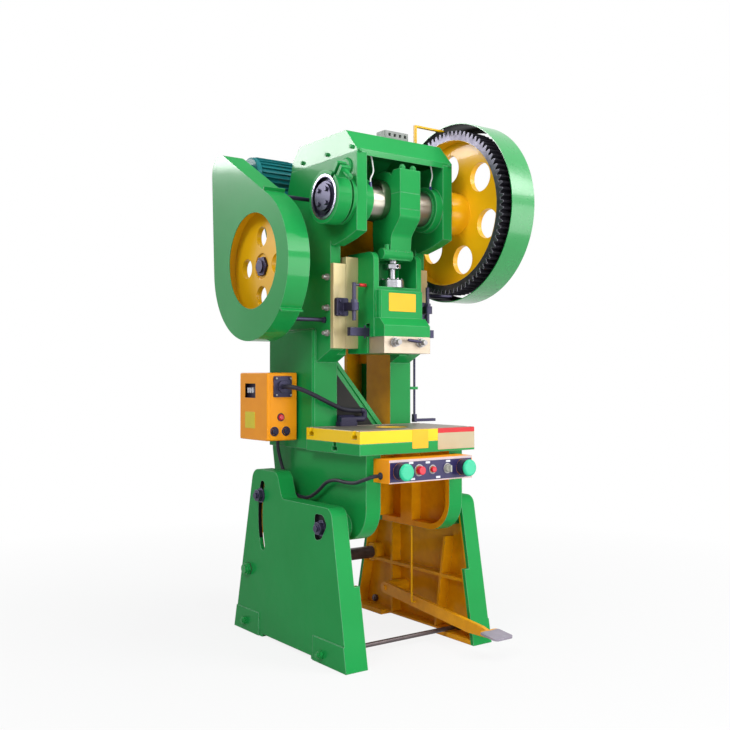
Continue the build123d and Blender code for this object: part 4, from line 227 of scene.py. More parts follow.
# %% Wires and finishes
class Wire:
    """One output socket that can be added, multiplied and compared."""

    def __init__(self, finish, socket):
        self.finish = finish
        self.socket = socket

    def maths(self, operation, *values, clamp=False):
        """One Math node on wires and numbers."""
        settings = {"operation": operation, "use_clamp": clamp}
        return self.finish.add("ShaderNodeMath", settings, dict(enumerate(values)))

    def __add__(self, other):
        return self.maths("ADD", self, other)

    def __sub__(self, other):
        return self.maths("SUBTRACT", self, other)

    def __mul__(self, other):
        return self.maths("MULTIPLY", self, other)

    def __truediv__(self, other):
        return self.maths("DIVIDE", self, other)

    def __rsub__(self, other):
        return self.maths("SUBTRACT", other, self)

    def __rtruediv__(self, other):
        return self.maths("DIVIDE", other, self)

    def __gt__(self, other):
        return self.maths("GREATER_THAN", self, other)

    def __lt__(self, other):
        return self.maths("LESS_THAN", self, other)

    def __abs__(self):
        return self.maths("ABSOLUTE", self)

    __radd__ = __add__
    __rmul__ = __mul__

    def most(self, other):
        return self.maths("MAXIMUM", self, other)

    def least(self, other):
        return self.maths("MINIMUM", self, other)

    def root(self):
        return self.maths("SQRT", self)

    def kept(self):
        """The same value, held between 0 and 1."""
        return self.maths("ADD", self, 0.0, clamp=True)


class Finish:
    """A material with its Principled shader and a short way to add nodes."""

    def __init__(self, name, **plain):
        self.material = bpy.data.materials.new(name)
        self.material.use_nodes = True
        self.tree = self.material.node_tree
        self.shader = self.tree.nodes["Principled BSDF"]
        for label, value in plain.items():
            self.shader.inputs[label.replace("_", " ")].default_value = value

    def add(self, kind, settings=None, inputs=None, out=0):
        """Any node: its type, its settings, then what goes into its sockets."""
        node = self.tree.nodes.new(kind)
        for key, value in (settings or {}).items():
            setattr(node, key, value)
        for key, value in (inputs or {}).items():
            self.feed(node.inputs[key], value)
        return Wire(self, node.outputs[out])

    def feed(self, socket, value):
        """Links a wire to a socket, or sets the socket's own value."""
        if isinstance(value, Wire):
            self.tree.links.new(value.socket, socket)
        else:
            socket.default_value = value

    def to_shader(self, **wires):
        """Feeds the Principled shader; an underscore stands for a space."""
        for label, value in wires.items():
            self.feed(self.shader.inputs[label.replace("_", " ")], value)

    def axes_of(self, vector):
        """The X, Y and Z of a vector, as three wires."""
        axes = self.add("ShaderNodeSeparateXYZ", {}, {0: vector}).socket.node
        return [Wire(self, socket) for socket in axes.outputs]

    def place(self):
        """The point's own X, Y and Z in metres, and the whole vector."""
        spot = self.add("ShaderNodeTexCoord", out="Object")
        return self.axes_of(spot) + [spot]

    def facing(self):
        """The surface direction's X, Y and Z, without any bump."""
        return self.axes_of(self.add("ShaderNodeNewGeometry", out="True Normal"))

    def noise(self, where, scale, detail=3.0, roughness=0.5, stretch=None):
        """Fractal noise from 0 to 1, stretched along an axis if wanted."""
        if stretch:
            where = self.add("ShaderNodeVectorMath", {"operation": "MULTIPLY"},
                             {0: where, 1: stretch})
        return self.add("ShaderNodeTexNoise", {}, {
            "Vector": where, "Scale": scale, "Detail": detail, "Roughness": roughness})

    def mix(self, factor, first, second):
        """A colour between two colours."""
        return self.add("ShaderNodeMix", {"data_type": "RGBA"}, {
            "Factor": factor, 6: first, 7: second}, out=2)

    def bump(self, height, strength, distance, normal):
        """Relief of a height, on top of another surface direction."""
        return self.add("ShaderNodeBump", {}, {
            "Height": height, "Strength": strength, "Distance": distance, "Normal": normal})

    def soft_edge(self, radius):
        """The surface direction as if every edge were rounded."""
        return self.add("ShaderNodeBevel", {"samples": 6}, {"Radius": radius})

    def edge_mask(self, rounded, width=0.06):
        """1 where the rounded direction leaves the flat one, so along edges only."""
        flat = self.add("ShaderNodeNewGeometry", out="True Normal")
        match = self.add("ShaderNodeVectorMath", {"operation": "DOT_PRODUCT"}, {
            0: rounded, 1: flat}, out="Value")
        return ((1.0 - match) / width).kept()


def wear(node_names, finish):
    """Gives CAD nodes a finish in place of the frame's plain one."""
    for name in node_names:
        mesh = nodes[name].data
        mesh.materials.clear()
        mesh.materials.append(finish.material)
    print(finish.material.name, "->", ", ".join(node_names))


# %% [markdown]
# ## Green enamel over rough castings
# The press wears thick gloss enamel, brushed and sprayed over filled iron castings. Up close such
# paint is never one flat colour: the filler makes it swell gently, the spray leaves orange peel,
# it thins to a darker line along edges, and handling dulls it in patches. All of that comes from
# noises of different sizes. Faces that look up are a little dull, because dust lies there. The
# outer edges are mixed toward a paler green, a painted highlight, and the walls of the legs' tilt
# slots are painted black, partly for grease and partly as painted shade. Inside, the castings are
# painted ochre.

# %% Enamel
GREEN = (0.012, 0.310, 0.070, 1.0)
GREEN_DEEP = (0.007, 0.220, 0.040, 1.0)
PRIMER = (0.16, 0.13, 0.06, 1.0)
EDGE_HIGHLIGHT_GREEN = (0.30, 0.60, 0.40, 1.0)
GREASE_AND_SHADE_BLACK = (0.010, 0.010, 0.012, 1.0)
OCHRE = (0.88, 0.42, 0.004, 1.0)
OCHRE_DEEP = (0.58, 0.23, 0.003, 1.0)


def enamel(name, colour, deep, inside=None, cast=1.0, edge=0.004, gloss=0.12, edge_highlight=0.0,
           greasy_and_shaded=None):
    """Gloss paint; `inside` says where the ochre is, and `greasy_and_shaded` where grease and
    painted shade make it black.
    """
    finish = Finish(name, Coat_Roughness=0.10, Specular_IOR_Level=0.06)
    spot = finish.place()
    patches = finish.noise(spot[3], scale=3.2, detail=4.0)
    stains = finish.noise(spot[3], scale=21.0, detail=5.0, roughness=0.6)
    dusty = (finish.facing()[2] * 2.5).kept()
    paint = finish.mix(patches * 0.75, colour, deep)
    if inside is not None:
        mask = inside(spot)
        shaded = finish.mix(stains, OCHRE, OCHRE_DEEP)
        paint = finish.mix(mask, paint, shaded)
    rounded = finish.soft_edge(edge)
    along_edge = finish.edge_mask(rounded)
    # Outer edges are mixed toward pale green, a painted highlight.
    if edge_highlight > 0.0:
        outer = along_edge if inside is None else along_edge * (1.0 - mask)
        paint = finish.mix(outer * edge_highlight, paint, EDGE_HIGHLIGHT_GREEN)
    worn = along_edge * (finish.noise(spot[3], scale=60.0, detail=3.0) > 0.62)
    paint = finish.mix(worn * 0.55, paint, PRIMER)
    if greasy_and_shaded is not None:
        paint = finish.mix(greasy_and_shaded(spot), paint, GREASE_AND_SHADE_BLACK)
    swell = finish.bump(finish.noise(spot[3], scale=14.0, detail=2.0), 0.22 * cast, 0.006, rounded)
    peel = finish.bump(finish.noise(spot[3], scale=330.0, detail=2.0), 0.10, 0.0006, swell)
    finish.to_shader(Base_Color=paint, Normal=peel,
                     Roughness=0.28 + stains * 0.16 + worn * 0.3 + dusty * 0.2,
                     Coat_Weight=(gloss - patches * gloss * 0.4) * (1.0 - dusty * 0.92))
    return finish


green = enamel("green_enamel", GREEN, GREEN_DEEP, edge_highlight=0.30)
green_sheet = enamel("green_enamel_on_sheet", GREEN, GREEN_DEEP, cast=0.35, edge=0.002,
                     gloss=0.62, edge_highlight=0.35)
wear(["crank_sleeves", "conrod_body", "conrod_cap", "conrod_bolts", "slide_body", "shaft_bushes",
      "brake_band", "brake_bolt"], green)
wear(["head_cover", "belt_guard", "motor_bracket"], green_sheet)

# %% [markdown]
# ### Two colours on one casting
# The legs and the frame are green outside and ochre inside. Nobody masks such a job with tape:
# the colours meet on the castings' edges. A mask that asks where a point lies does the same.
# For a leg, a point is inside when it is past the skin and well within the side outline: behind
# the sloped front, ahead of the sloped back, and below the low or the high shoulder.

# %% Legs, green outside and ochre inside
LEG_SKIN_X = 0.3338
LEG_FOOT_Y = 0.418
FRONT_SLOPE, BACK_SLOPE = 0.180, -0.229
LOW_SHOULDER_Z, HIGH_SHOULDER_Z = 0.577, 0.680
STEP_Y, STEP_LEAN, STEP_COSINE = 0.034, 0.40, 0.93
LEG_RIM = 0.017
SLOT_SKIN_X = (0.3342, 0.3494)
FRONT_SLOT_Y, FRONT_SLOT_Z = (-0.310, 0.034), (0.41, 0.56)
BACK_SLOT_Y, BACK_SLOT_Z = (0.120, 0.275), (0.40, 0.64)


def between(value, low, high):
    """1 where a wire's value lies between two numbers."""
    return (value > low) * (value < high)


def inside_leg(spot):
    """The ochre side of a leg, all but the rim round its outline."""
    across, along, up = abs(spot[0]), spot[1], spot[2]
    front = along - (up * FRONT_SLOPE - LEG_FOOT_Y)
    back = (up * BACK_SLOPE + LEG_FOOT_Y) - along
    low_top = LOW_SHOULDER_Z - up
    step = along - STEP_Y - (up - LOW_SHOULDER_Z) * STEP_LEAN
    high_top = (HIGH_SHOULDER_Z - up).least(step * STEP_COSINE)
    within = front.least(back).least(low_top.most(high_top))
    return (within > LEG_RIM) * (across < LEG_SKIN_X)


def slot_walls(spot):
    """The walls of the two tilt slots, cut through the skin of a leg, painted black: grease and
    painted shade.
    """
    across, along, up = abs(spot[0]), spot[1], spot[2]
    front = between(along, *FRONT_SLOT_Y) * between(up, *FRONT_SLOT_Z)
    back = between(along, *BACK_SLOT_Y) * between(up, *BACK_SLOT_Z)
    return between(across, *SLOT_SKIN_X) * front.most(back)


# The slot walls are painted black, partly for grease and partly as painted shade of the deep slots.
wear(["left_leg", "right_leg"], enamel("leg_enamel", GREEN, GREEN_DEEP, inside_leg, edge_highlight=0.45,
                                       greasy_and_shaded=slot_walls))

# %% [markdown]
# The frame has four insides: the box under the table, the open throat between its columns, the
# pocket behind the throat, and the back of the head. The box has a round lower corner in front, so
# its test measures the distance to a rounded outline, the way a signed distance field does.

# %% Frame, green outside and ochre inside
BOX_CORNER_Y, BOX_CORNER_Z, BOX_CORNER_RADIUS = -0.250, 0.570, 0.1245
BOX_ACROSS, BOX_BACK_Y, BOX_TOP_Z = 0.2345, 0.0610, 0.7717
BED_TOP_Z = 0.8145
THROAT_ACROSS, THROAT_Y, THROAT_TOP_Z = 0.1352, -0.0375, 1.57
POCKET_ACROSS, POCKET_Y = 0.2145, 0.1305
HEAD_ACROSS, HEAD_Y, HEAD_LOW_Z = 0.19, 0.05, 1.5


def inside_frame(spot):
    """The ochre insides: box, throat, the pocket behind it, and the head."""
    across, along, up = abs(spot[0]), spot[1], spot[2]
    ahead = (BOX_CORNER_Y - along).most(0.0)
    low = (BOX_CORNER_Z - up).most(0.0)
    corner = (ahead * ahead + low * low).root()
    box = ((corner < BOX_CORNER_RADIUS) * (across < BOX_ACROSS) * (up < BOX_TOP_Z)
           * (along < BOX_BACK_Y))
    throat = (across < THROAT_ACROSS) * (along > THROAT_Y) * between(up, BED_TOP_Z, THROAT_TOP_Z)
    pocket = (across < POCKET_ACROSS) * (along > POCKET_Y) * (up > BED_TOP_Z)
    head = (along > HEAD_Y) * (across < HEAD_ACROSS) * (up > HEAD_LOW_Z)
    return box.most(throat).most(pocket).most(head)


wear(["frame_casting"], enamel("frame_enamel", GREEN, GREEN_DEEP, inside_frame, edge=0.006,
                               edge_highlight=0.30))

# %% [markdown]
# ## Guard of the big gear
# Outside it is the same green sheet, and inside it is black. A point belongs to the inside when
# its surface faces the crank's axis, which one dot product tells, or when it is on the back of
# the lip.

# %% Gear guard
INSIDE_BLACK = (0.006, 0.006, 0.008, 1.0)
CRANK_Y, CRANK_Z = -0.225, 1.736
GUARD_LIP_X = 0.40


def black_inside_guard():
    """Green sheet, black on its inner side."""
    finish = Finish("green_sheet_black_inside", Coat_Roughness=0.12)
    spot = finish.place()
    facing = finish.facing()
    inward = facing[1] * (spot[1] - CRANK_Y) + facing[2] * (spot[2] - CRANK_Z)
    back_of_lip = (facing[0] < -0.5) * (spot[0] > GUARD_LIP_X)
    inner_side = (inward < 0.0).most(back_of_lip)
    patches = finish.noise(spot[3], scale=3.0, detail=4.0)
    smear = finish.noise(spot[3], scale=26.0, detail=5.0, roughness=0.65)
    paint = finish.mix(inner_side, finish.mix(patches * 0.75, GREEN, GREEN_DEEP), INSIDE_BLACK)
    relief = finish.noise(spot[3], scale=330.0, detail=2.0) + smear * inner_side * 3.0
    bump = finish.bump(relief, 0.10, 0.0006, finish.soft_edge(0.002))
    finish.to_shader(Base_Color=paint, Roughness=0.20 + smear * 0.18 + inner_side * 0.2,
                     Coat_Weight=0.45 - inner_side * 0.4, Normal=bump)
    return finish


wear(["gear_guard"], black_inside_guard())

# %% [markdown]
# ## Yellow web, steel teeth
# The big gear and the flywheel are painted yellow where they were left as cast, and bare where
# they were cut. The cut rim starts at a known radius, so the mask is a distance from the axis.
# Cut teeth are dark with oil and show fine lines across their faces from the cutter. The
# edges of the cut steel are mixed toward pale grey, a painted highlight.

# %% Gear and flywheel
YELLOW = (0.95, 0.53, 0.006, 1.0)
YELLOW_DEEP = (0.72, 0.34, 0.004, 1.0)
OILED = (0.045, 0.042, 0.060, 1.0)
OILED_BRIGHT = (0.17, 0.16, 0.20, 1.0)
STEEL_EDGE_HIGHLIGHT = (0.5, 0.5, 0.55, 1.0)
SHAFT_Y, SHAFT_Z = 0.086, 1.4974
PEDAL_Y = -0.530


def off_axis(spot, axis_y, axis_z):
    """How far a point is from a shaft that runs along X."""
    from_y, from_z = spot[1] - axis_y, spot[2] - axis_z
    return (from_y * from_y + from_z * from_z).root()


def painted_wheel(name, axis_y, axis_z, bare_from, hub_to):
    """Yellow web between a bare cut rim and a bare hub."""
    finish = Finish(name, Specular_IOR_Level=0.25)
    spot = finish.place()
    radius = off_axis(spot, axis_y, axis_z)
    bare = (radius > bare_from).most(radius < hub_to)
    patches = finish.noise(spot[3], scale=6.0, detail=4.0)
    cutter = finish.noise(spot[3], scale=40.0, detail=2.0, stretch=(30.0, 1.0, 1.0))
    oil = finish.mix(cutter * 0.8, OILED, OILED_BRIGHT)
    paint = finish.mix(patches * 0.7, YELLOW, YELLOW_DEEP)
    rounded = finish.soft_edge(0.003)
    edge = finish.edge_mask(rounded)
    # Edges of the bare steel are mixed toward pale grey: a painted highlight.
    colour = finish.mix(bare, paint, finish.mix(edge * 0.35, oil, STEEL_EDGE_HIGHLIGHT))
    swell = finish.noise(spot[3], scale=22.0, detail=3.0)
    bump = finish.bump(swell * (1.0 - bare) + cutter * bare * 0.1, 0.25, 0.003, rounded)
    finish.to_shader(Base_Color=colour, Metallic=bare * 0.9, Normal=bump,
                     Roughness=0.30 + bare * 0.08 + patches * 0.12,
                     Coat_Weight=(1.0 - bare) * 0.22)
    return finish


wear(["big_gear"], painted_wheel("gear_yellow_and_oiled_steel", CRANK_Y, CRANK_Z,
                                 bare_from=0.2975, hub_to=0.046))
wear(["flywheel"], painted_wheel("flywheel_yellow_and_steel", SHAFT_Y, SHAFT_Z,
                                 bare_from=0.262, hub_to=0.036))
wear(["guard_bracket", "pull_rod"], enamel("yellow_enamel", YELLOW, YELLOW_DEEP, cast=0.5))


def treadle_finish():
    """Ochre arm; the pedal's paint is worn off to grey steel."""
    finish = Finish("ochre_arm_worn_pedal", Specular_IOR_Level=0.3)
    spot = finish.place()
    scuffs = finish.noise(spot[3], scale=30.0, detail=4.0, roughness=0.6)
    pedal = (spot[1] + scuffs * 0.02) < PEDAL_Y
    paint = finish.mix(scuffs, OCHRE, OCHRE_DEEP)
    metal = finish.mix(scuffs, (0.42, 0.38, 0.45, 1), (0.24, 0.21, 0.27, 1))
    finish.to_shader(Base_Color=finish.mix(pedal, paint, metal), Metallic=pedal * 0.6,
                     Roughness=0.36 + scuffs * 0.15,
                     Normal=finish.bump(scuffs, 0.15, 0.001, finish.soft_edge(0.002)))
    return finish


wear(["treadle"], treadle_finish())

# %% [markdown]
# ## Steel, ground, dark and oily
# Ground steel shows fine parallel lines left by the wheel, so its noise is stretched along one
# axis until it turns into streaks. Hot-rolled or blackened steel keeps a soft, dark, slightly
# blue skin that is rubbed bright along its edges.

# %% Steels
BLUED, BLUED_RUBBED = (0.020, 0.018, 0.045, 1), (0.11, 0.10, 0.17, 1)
NUTS_FROM_X = 0.3535


def ground_steel(name, bright, dull, stretch, roughness):
    """Bare steel with the wheel's lines along one axis."""
    finish = Finish(name, Metallic=1.0)
    spot = finish.place()
    lines = finish.noise(spot[3], scale=9.0, detail=4.0, roughness=0.6, stretch=stretch)
    tarnish = finish.noise(spot[3], scale=7.0, detail=4.0, roughness=0.6)
    rounded = finish.soft_edge(0.002)
    colour = finish.mix((lines * 0.6 + tarnish * 0.5).kept(), bright, dull)
    bump = finish.bump(lines, 0.12, 0.0008, rounded)
    finish.to_shader(Base_Color=colour, Roughness=roughness + tarnish * 0.2, Normal=bump)
    return finish


def dark_steel(name, colour, worn_colour):
    """Skinned or plated steel, rubbed brighter along its edges."""
    finish = Finish(name, Metallic=0.75)
    spot = finish.place()
    grain = finish.noise(spot[3], scale=120.0, detail=3.0)
    cloud = finish.noise(spot[3], scale=11.0, detail=4.0)
    rounded = finish.soft_edge(0.002)
    worn = finish.edge_mask(rounded, 0.1) * 0.5
    tone = finish.mix((cloud * 0.5 + worn).kept(), colour, worn_colour)
    finish.to_shader(Base_Color=tone, Roughness=0.34 + grain * 0.22,
                     Normal=finish.bump(grain, 0.15, 0.0006, rounded))
    return finish


turned = ground_steel("turned_steel", (0.44, 0.41, 0.36, 1), (0.19, 0.165, 0.13, 1),
                      stretch=(60, 1, 1), roughness=0.22)
ground = ground_steel("ground_steel", (0.50, 0.43, 0.35, 1), (0.33, 0.27, 0.20, 1),
                      stretch=(1, 50, 50), roughness=0.36)
polished = ground_steel("polished_steel", (0.60, 0.60, 0.63, 1), (0.30, 0.30, 0.34, 1),
                        stretch=(1, 1, 40), roughness=0.16)
blued = dark_steel("blued_steel", BLUED, BLUED_RUBBED)
zinc = dark_steel("zinc_plated_steel", (0.24, 0.23, 0.24, 1), (0.50, 0.48, 0.46, 1))
wear(["crankshaft"], turned)
wear(["shank_clamp"], ground)
wear(["adjusting_screw", "ball_cap"], polished)
wear(["knockout_bar", "knockout_brackets", "tilt_bolts", "clutch_rod", "hose_flange", "guard_stays",
      "pinion_shaft"], blued)
wear(["clamp_studs", "gib_screws", "motor_pulley"], zinc)


def tie_rod_finish():
    """Dark bars between the legs, green nuts outside them."""
    finish = Finish("dark_bar_green_nuts", Specular_IOR_Level=0.3)
    spot = finish.place()
    outside = abs(spot[0]) > NUTS_FROM_X
    scale = finish.noise(spot[3], scale=40.0, detail=4.0, roughness=0.6)
    bar = finish.mix(scale, (0.045, 0.036, 0.040, 1), (0.16, 0.13, 0.13, 1))
    paint = finish.mix(scale, GREEN, GREEN_DEEP)
    finish.to_shader(Base_Color=finish.mix(outside, bar, paint), Metallic=(1.0 - outside) * 0.7,
                     Roughness=0.32 + scale * 0.2, Normal=finish.soft_edge(0.002))
    return finish


wear(["tie_rods"], tie_rod_finish())

# %% [markdown]
# The drum of the brake is dark iron with a polished rim. The guide bars are scraped cast iron
# under a film of old grease, which gives them a cream colour. The knock-out screws are blued, and
# the left one's lever ends in a red knob: two limits in X are enough to paint it.

# %% Brake drum, guides and knock-out screws
DRUM_RIM_RADIUS, DRUM_RIM_X = 0.0768, -0.3235
KNOB_X = (-0.1585, 0.0)


def brake_drum_finish():
    """Dark turned iron with a polished rim."""
    finish = Finish("iron_drum_bright_rim", Metallic=0.9)
    spot = finish.place()
    radius = off_axis(spot, CRANK_Y, CRANK_Z)
    rim = (radius > DRUM_RIM_RADIUS) * (spot[0] < DRUM_RIM_X)
    outward = finish.add("ShaderNodeCombineXYZ", {}, {0: radius})
    rings = finish.noise(outward, scale=260.0, detail=2.0)
    dark = finish.mix(rings * 0.7, (0.022, 0.020, 0.040, 1), (0.10, 0.09, 0.14, 1))
    colour = finish.mix(rim, dark, (0.40, 0.37, 0.48, 1))
    finish.to_shader(Base_Color=colour, Roughness=0.36 - rim * 0.14,
                     Normal=finish.bump(rings, 0.10, 0.001, finish.soft_edge(0.002)))
    return finish


def guide_finish():
    """Scraped iron under a yellowish film of grease."""
    finish = Finish("scraped_guide_metal", Metallic=0.45)
    spot = finish.place()
    scrape = finish.noise(spot[3], scale=12.0, detail=4.0, roughness=0.6, stretch=(6.0, 6.0, 1.0))
    grease = finish.noise(spot[3], scale=9.0, detail=4.0)
    colour = finish.mix(scrape, (0.60, 0.52, 0.36, 1), (0.42, 0.34, 0.18, 1))
    colour = finish.mix(grease * 0.5, colour, (0.62, 0.45, 0.12, 1))
    finish.to_shader(Base_Color=colour, Roughness=0.34 + grease * 0.16,
                     Normal=finish.bump(scrape, 0.15, 0.001, finish.soft_edge(0.002)))
    return finish


def lever_finish():
    """Blued screws; the end of the left one's lever is red."""
    finish = Finish("blued_screw_red_knob", Metallic=0.4)
    spot = finish.place()
    knob = between(spot[0], *KNOB_X)
    grain = finish.noise(spot[3], scale=120.0, detail=3.0)
    colour = finish.mix(knob, finish.mix(grain, BLUED, (0.09, 0.08, 0.14, 1)),
                        (0.55, 0.02, 0.02, 1))
    finish.to_shader(Base_Color=colour, Roughness=0.34 + grain * 0.14)
    return finish


wear(["brake_drum"], brake_drum_finish())
wear(["gibs", "gib_keepers"], guide_finish())
wear(["knockout_screws"], lever_finish())

# %% [markdown]
# ## The work table
# The table plate is painted bright yellow round its sides, and its top is planed iron, brown-grey
# from oil. Whether a point is on the top is a question for its direction, and just below the top
# edge for its height.

# %% Table plate
PLANED_FROM_Z = 0.8605


def table_finish():
    """Yellow paint round the sides, planed iron on top."""
    finish = Finish("yellow_table_planed_top", Coat_Roughness=0.15, Specular_IOR_Level=0.2)
    spot = finish.place()
    facing = finish.facing()
    top = (facing[2] > 0.6).most(spot[2] > PLANED_FROM_Z)
    planed = finish.noise(spot[3], scale=10.0, detail=4.0, roughness=0.6, stretch=(1.0, 26.0, 1.0))
    metal = finish.mix(planed, (0.36, 0.31, 0.26, 1), (0.17, 0.145, 0.12, 1))
    patches = finish.noise(spot[3], scale=9.0, detail=4.0)
    paint = finish.mix(patches * 0.5, (0.92, 0.60, 0.004, 1), (0.80, 0.47, 0.004, 1))
    rounded = finish.soft_edge(0.003)
    chipped = finish.edge_mask(rounded) * (finish.noise(spot[3], scale=70.0, detail=3.0) > 0.56)
    paint = finish.mix(chipped * 0.6, paint, (0.25, 0.20, 0.12, 1))
    finish.to_shader(Base_Color=finish.mix(top, paint, metal), Metallic=top * 0.8,
                     Roughness=0.28 + top * 0.12 + patches * 0.08,
                     Coat_Weight=(1.0 - top) * 0.05,
                     Normal=finish.bump(planed * top + patches * 0.3, 0.2, 0.001, rounded))
    return finish


wear(["bolster_plate"], table_finish())

# %% [markdown]
# ## Sheet boxes, rubber and plastic
# The two control boxes are orange powder coat, smoother than the brushed enamel. Rubber is nearly
# black with a broad, weak sheen. Moulded plastic has a fine even grain; push-buttons are glossier.
# The motor, the vent on the roof and the two grease pipes get their finishes here as well.

# %% Boxes, rubber and plastics
ORANGE = (0.92, 0.34, 0.005, 1.0)
ORANGE_DEEP = (0.78, 0.24, 0.004, 1.0)
LEFT_FITTING_Z, RIGHT_FITTING_Z = 1.799, 1.823


def moulded(name, colour, deep, roughness, grain_scale=420.0, coat=0.0):
    """Powder coat, rubber or plastic: an even grain under faint clouds."""
    finish = Finish(name, Coat_Roughness=0.08, Specular_IOR_Level=0.20)
    spot = finish.place()
    grain = finish.noise(spot[3], scale=grain_scale, detail=2.0)
    cloud = finish.noise(spot[3], scale=18.0, detail=3.0)
    finish.to_shader(Base_Color=finish.mix(cloud * 0.6, colour, deep),
                     Roughness=roughness + cloud * 0.1, Coat_Weight=coat + cloud * 0.05,
                     Normal=finish.bump(grain, 0.12, 0.0005, finish.soft_edge(0.0015)))
    return finish


def pipe_finish():
    """Milky tube, with a blued fitting at each lower end."""
    finish = Finish("clear_nylon_blued_fitting", Coat_Weight=0.2)
    spot = finish.place()
    left = (spot[0] < 0.0) * (spot[2] < LEFT_FITTING_Z)
    right = (spot[0] > 0.0) * (spot[2] < RIGHT_FITTING_Z)
    cloud = finish.noise(spot[3], scale=60.0, detail=3.0)
    tube = finish.mix(cloud, (0.80, 0.80, 0.78, 1), (0.60, 0.61, 0.60, 1))
    finish.to_shader(Base_Color=finish.mix(left.most(right), tube, (0.02, 0.03, 0.14, 1)),
                     Roughness=0.26 + cloud * 0.1)
    return finish


orange = moulded("orange_powder_coat", ORANGE, ORANGE_DEEP, 0.40, grain_scale=500.0)
rubber = moulded("black_rubber", (0.016, 0.016, 0.024, 1), (0.032, 0.030, 0.050, 1), 0.48,
                 grain_scale=260.0)
dark_plastic = moulded("dark_plastic", (0.018, 0.016, 0.040, 1), (0.040, 0.034, 0.085, 1), 0.36)
green_cap = moulded("green_button_plastic", (0.02, 0.52, 0.28, 1), (0.01, 0.42, 0.22, 1), 0.22,
                    grain_scale=300.0, coat=0.3)
red_cap = moulded("red_button_plastic", (0.62, 0.012, 0.035, 1), (0.45, 0.008, 0.02, 1), 0.20,
                  grain_scale=300.0, coat=0.3)
grey_knob = moulded("grey_knob_plastic", (0.42, 0.42, 0.36, 1), (0.30, 0.30, 0.27, 1), 0.34)
grey_vent = moulded("grey_vent_casting", (0.30, 0.31, 0.30, 1), (0.16, 0.17, 0.16, 1), 0.45)
teal = enamel("teal_motor_enamel", (0.010, 0.180, 0.190, 1), (0.006, 0.100, 0.115, 1), cast=0.6)
wear(["electrical_box", "box_door", "button_box"], orange)
wear(["button_lead", "drive_belts"], rubber)
wear(["palm_shrouds", "foot_switch", "box_button_left", "box_button_right"], dark_plastic)
wear(["left_palm_button", "right_palm_button"], green_cap)
wear(["stop_button", "inch_button", "pilot_lamp"], red_cap)
wear(["selector_knob"], grey_knob)
wear(["grease_pipes"], pipe_finish())
wear(["roof_vent"], grey_vent)
wear(["motor_body"], teal)
hose.data.materials.append(rubber.material)

# %% [markdown]
# ## Shield across the throat
# A black sheet stands across the throat, and a green flat bar runs along its slanted long edge.
# Both are one welded piece, so the colour is chosen by the distance from that slanted edge.

# %% Throat shield
SHIELD_LOW_Z, SHIELD_HIGH_Z, SHIELD_HALF = 0.8143, 1.126, 0.1347
SHIELD_BAR_WIDE = 0.0345


def shield_finish():
    """Black sheet with a green bar along its slanted edge."""
    finish = Finish("black_sheet_green_bar", Coat_Roughness=0.15, Specular_IOR_Level=0.15)
    spot = finish.place()
    slope = (SHIELD_HIGH_Z - SHIELD_LOW_Z) / (2 * SHIELD_HALF)
    drop = math.cos(math.atan(slope))
    from_edge = ((SHIELD_LOW_Z + (SHIELD_HALF - spot[0]) * slope) - spot[2]) * drop
    bar = from_edge < SHIELD_BAR_WIDE
    cloud = finish.noise(spot[3], scale=16.0, detail=4.0)
    black = finish.mix(cloud, (0.012, 0.012, 0.012, 1), (0.03, 0.028, 0.025, 1))
    green_bar = finish.mix(cloud * 0.7, GREEN, GREEN_DEEP)
    finish.to_shader(Base_Color=finish.mix(bar, black, green_bar), Roughness=0.5 - bar * 0.24,
                     Coat_Weight=bar * 0.08,
                     Normal=finish.bump(cloud, 0.1, 0.002, finish.soft_edge(0.002)))
    return finish


wear(["throat_shield"], shield_finish())

# %% [markdown]
# ## Plates, turned parts and hexagons
# The small parts are of three kinds, so three helpers make them. A flat plate is a filled 2D curve
# with its holes as further splines and a fine bevel, made into a mesh. A turned part is a profile
# swept round an axis, as on a lathe. A hexagon head is a washer and a turned part of six steps.
# Parts of one finish that never move apart are joined into one mesh.

# %% Helpers for small parts
def facing_front(y):
    """Turns a drawing of X and Z so that it stands at this Y."""
    return Matrix(((1, 0, 0, 0), (0, 0, -1, y), (0, 1, 0, 0), (0, 0, 0, 1)))


def facing_side(x):
    """Turns a drawing of Y and Z so that it stands at this X."""
    return Matrix(((0, 0, 1, x), (1, 0, 0, 0), (0, 1, 0, 0), (0, 0, 0, 1)))


def ring_points(across, up, radius, count=28):
    """A circle's outline."""
    return [(across + radius * math.cos(2 * math.pi * i / count),
             up + radius * math.sin(2 * math.pi * i / count)) for i in range(count)]


def rounded_box(low, high, radius, steps=5):
    """A rectangle's outline with round corners."""
    corners = ((high[0] - radius, high[1] - radius, 0), (low[0] + radius, high[1] - radius, 90),
               (low[0] + radius, low[1] + radius, 180), (high[0] - radius, low[1] + radius, 270))
    points = []
    for across, up, start in corners:
        for i in range(steps + 1):
            turn = math.radians(start + 90 * i / steps)
            points.append((across + radius * math.cos(turn), up + radius * math.sin(turn)))
    return points


def plate_mesh(outlines, thick, place, bevel=0.0004):
    """A flat plate from an outline; the outlines after the first are holes."""
    curve = bpy.data.curves.new("plate_drawing", "CURVE")
    curve.dimensions = "2D"
    curve.fill_mode = "BOTH"
    curve.extrude = thick / 2 - bevel
    curve.bevel_depth = bevel
    curve.bevel_resolution = 1
    for outline in outlines:
        spline = curve.splines.new("POLY")
        spline.points.add(len(outline) - 1)
        for spot, (across, up) in zip(spline.points, outline):
            spot.co = (across, up, 0.0, 1.0)
        spline.use_cyclic_u = True
    drawing = bpy.data.objects.new("plate_drawing", curve)
    mesh = bpy.data.meshes.new_from_object(drawing)
    bpy.data.objects.remove(drawing)
    mesh.transform(place)
    mesh.update()
    return mesh


def joined(name, meshes):
    """Several meshes made into one."""
    maker = bmesh.new()
    for mesh in meshes:
        maker.from_mesh(mesh)
    whole = bpy.data.meshes.new(name)
    maker.to_mesh(whole)
    maker.free()
    return whole


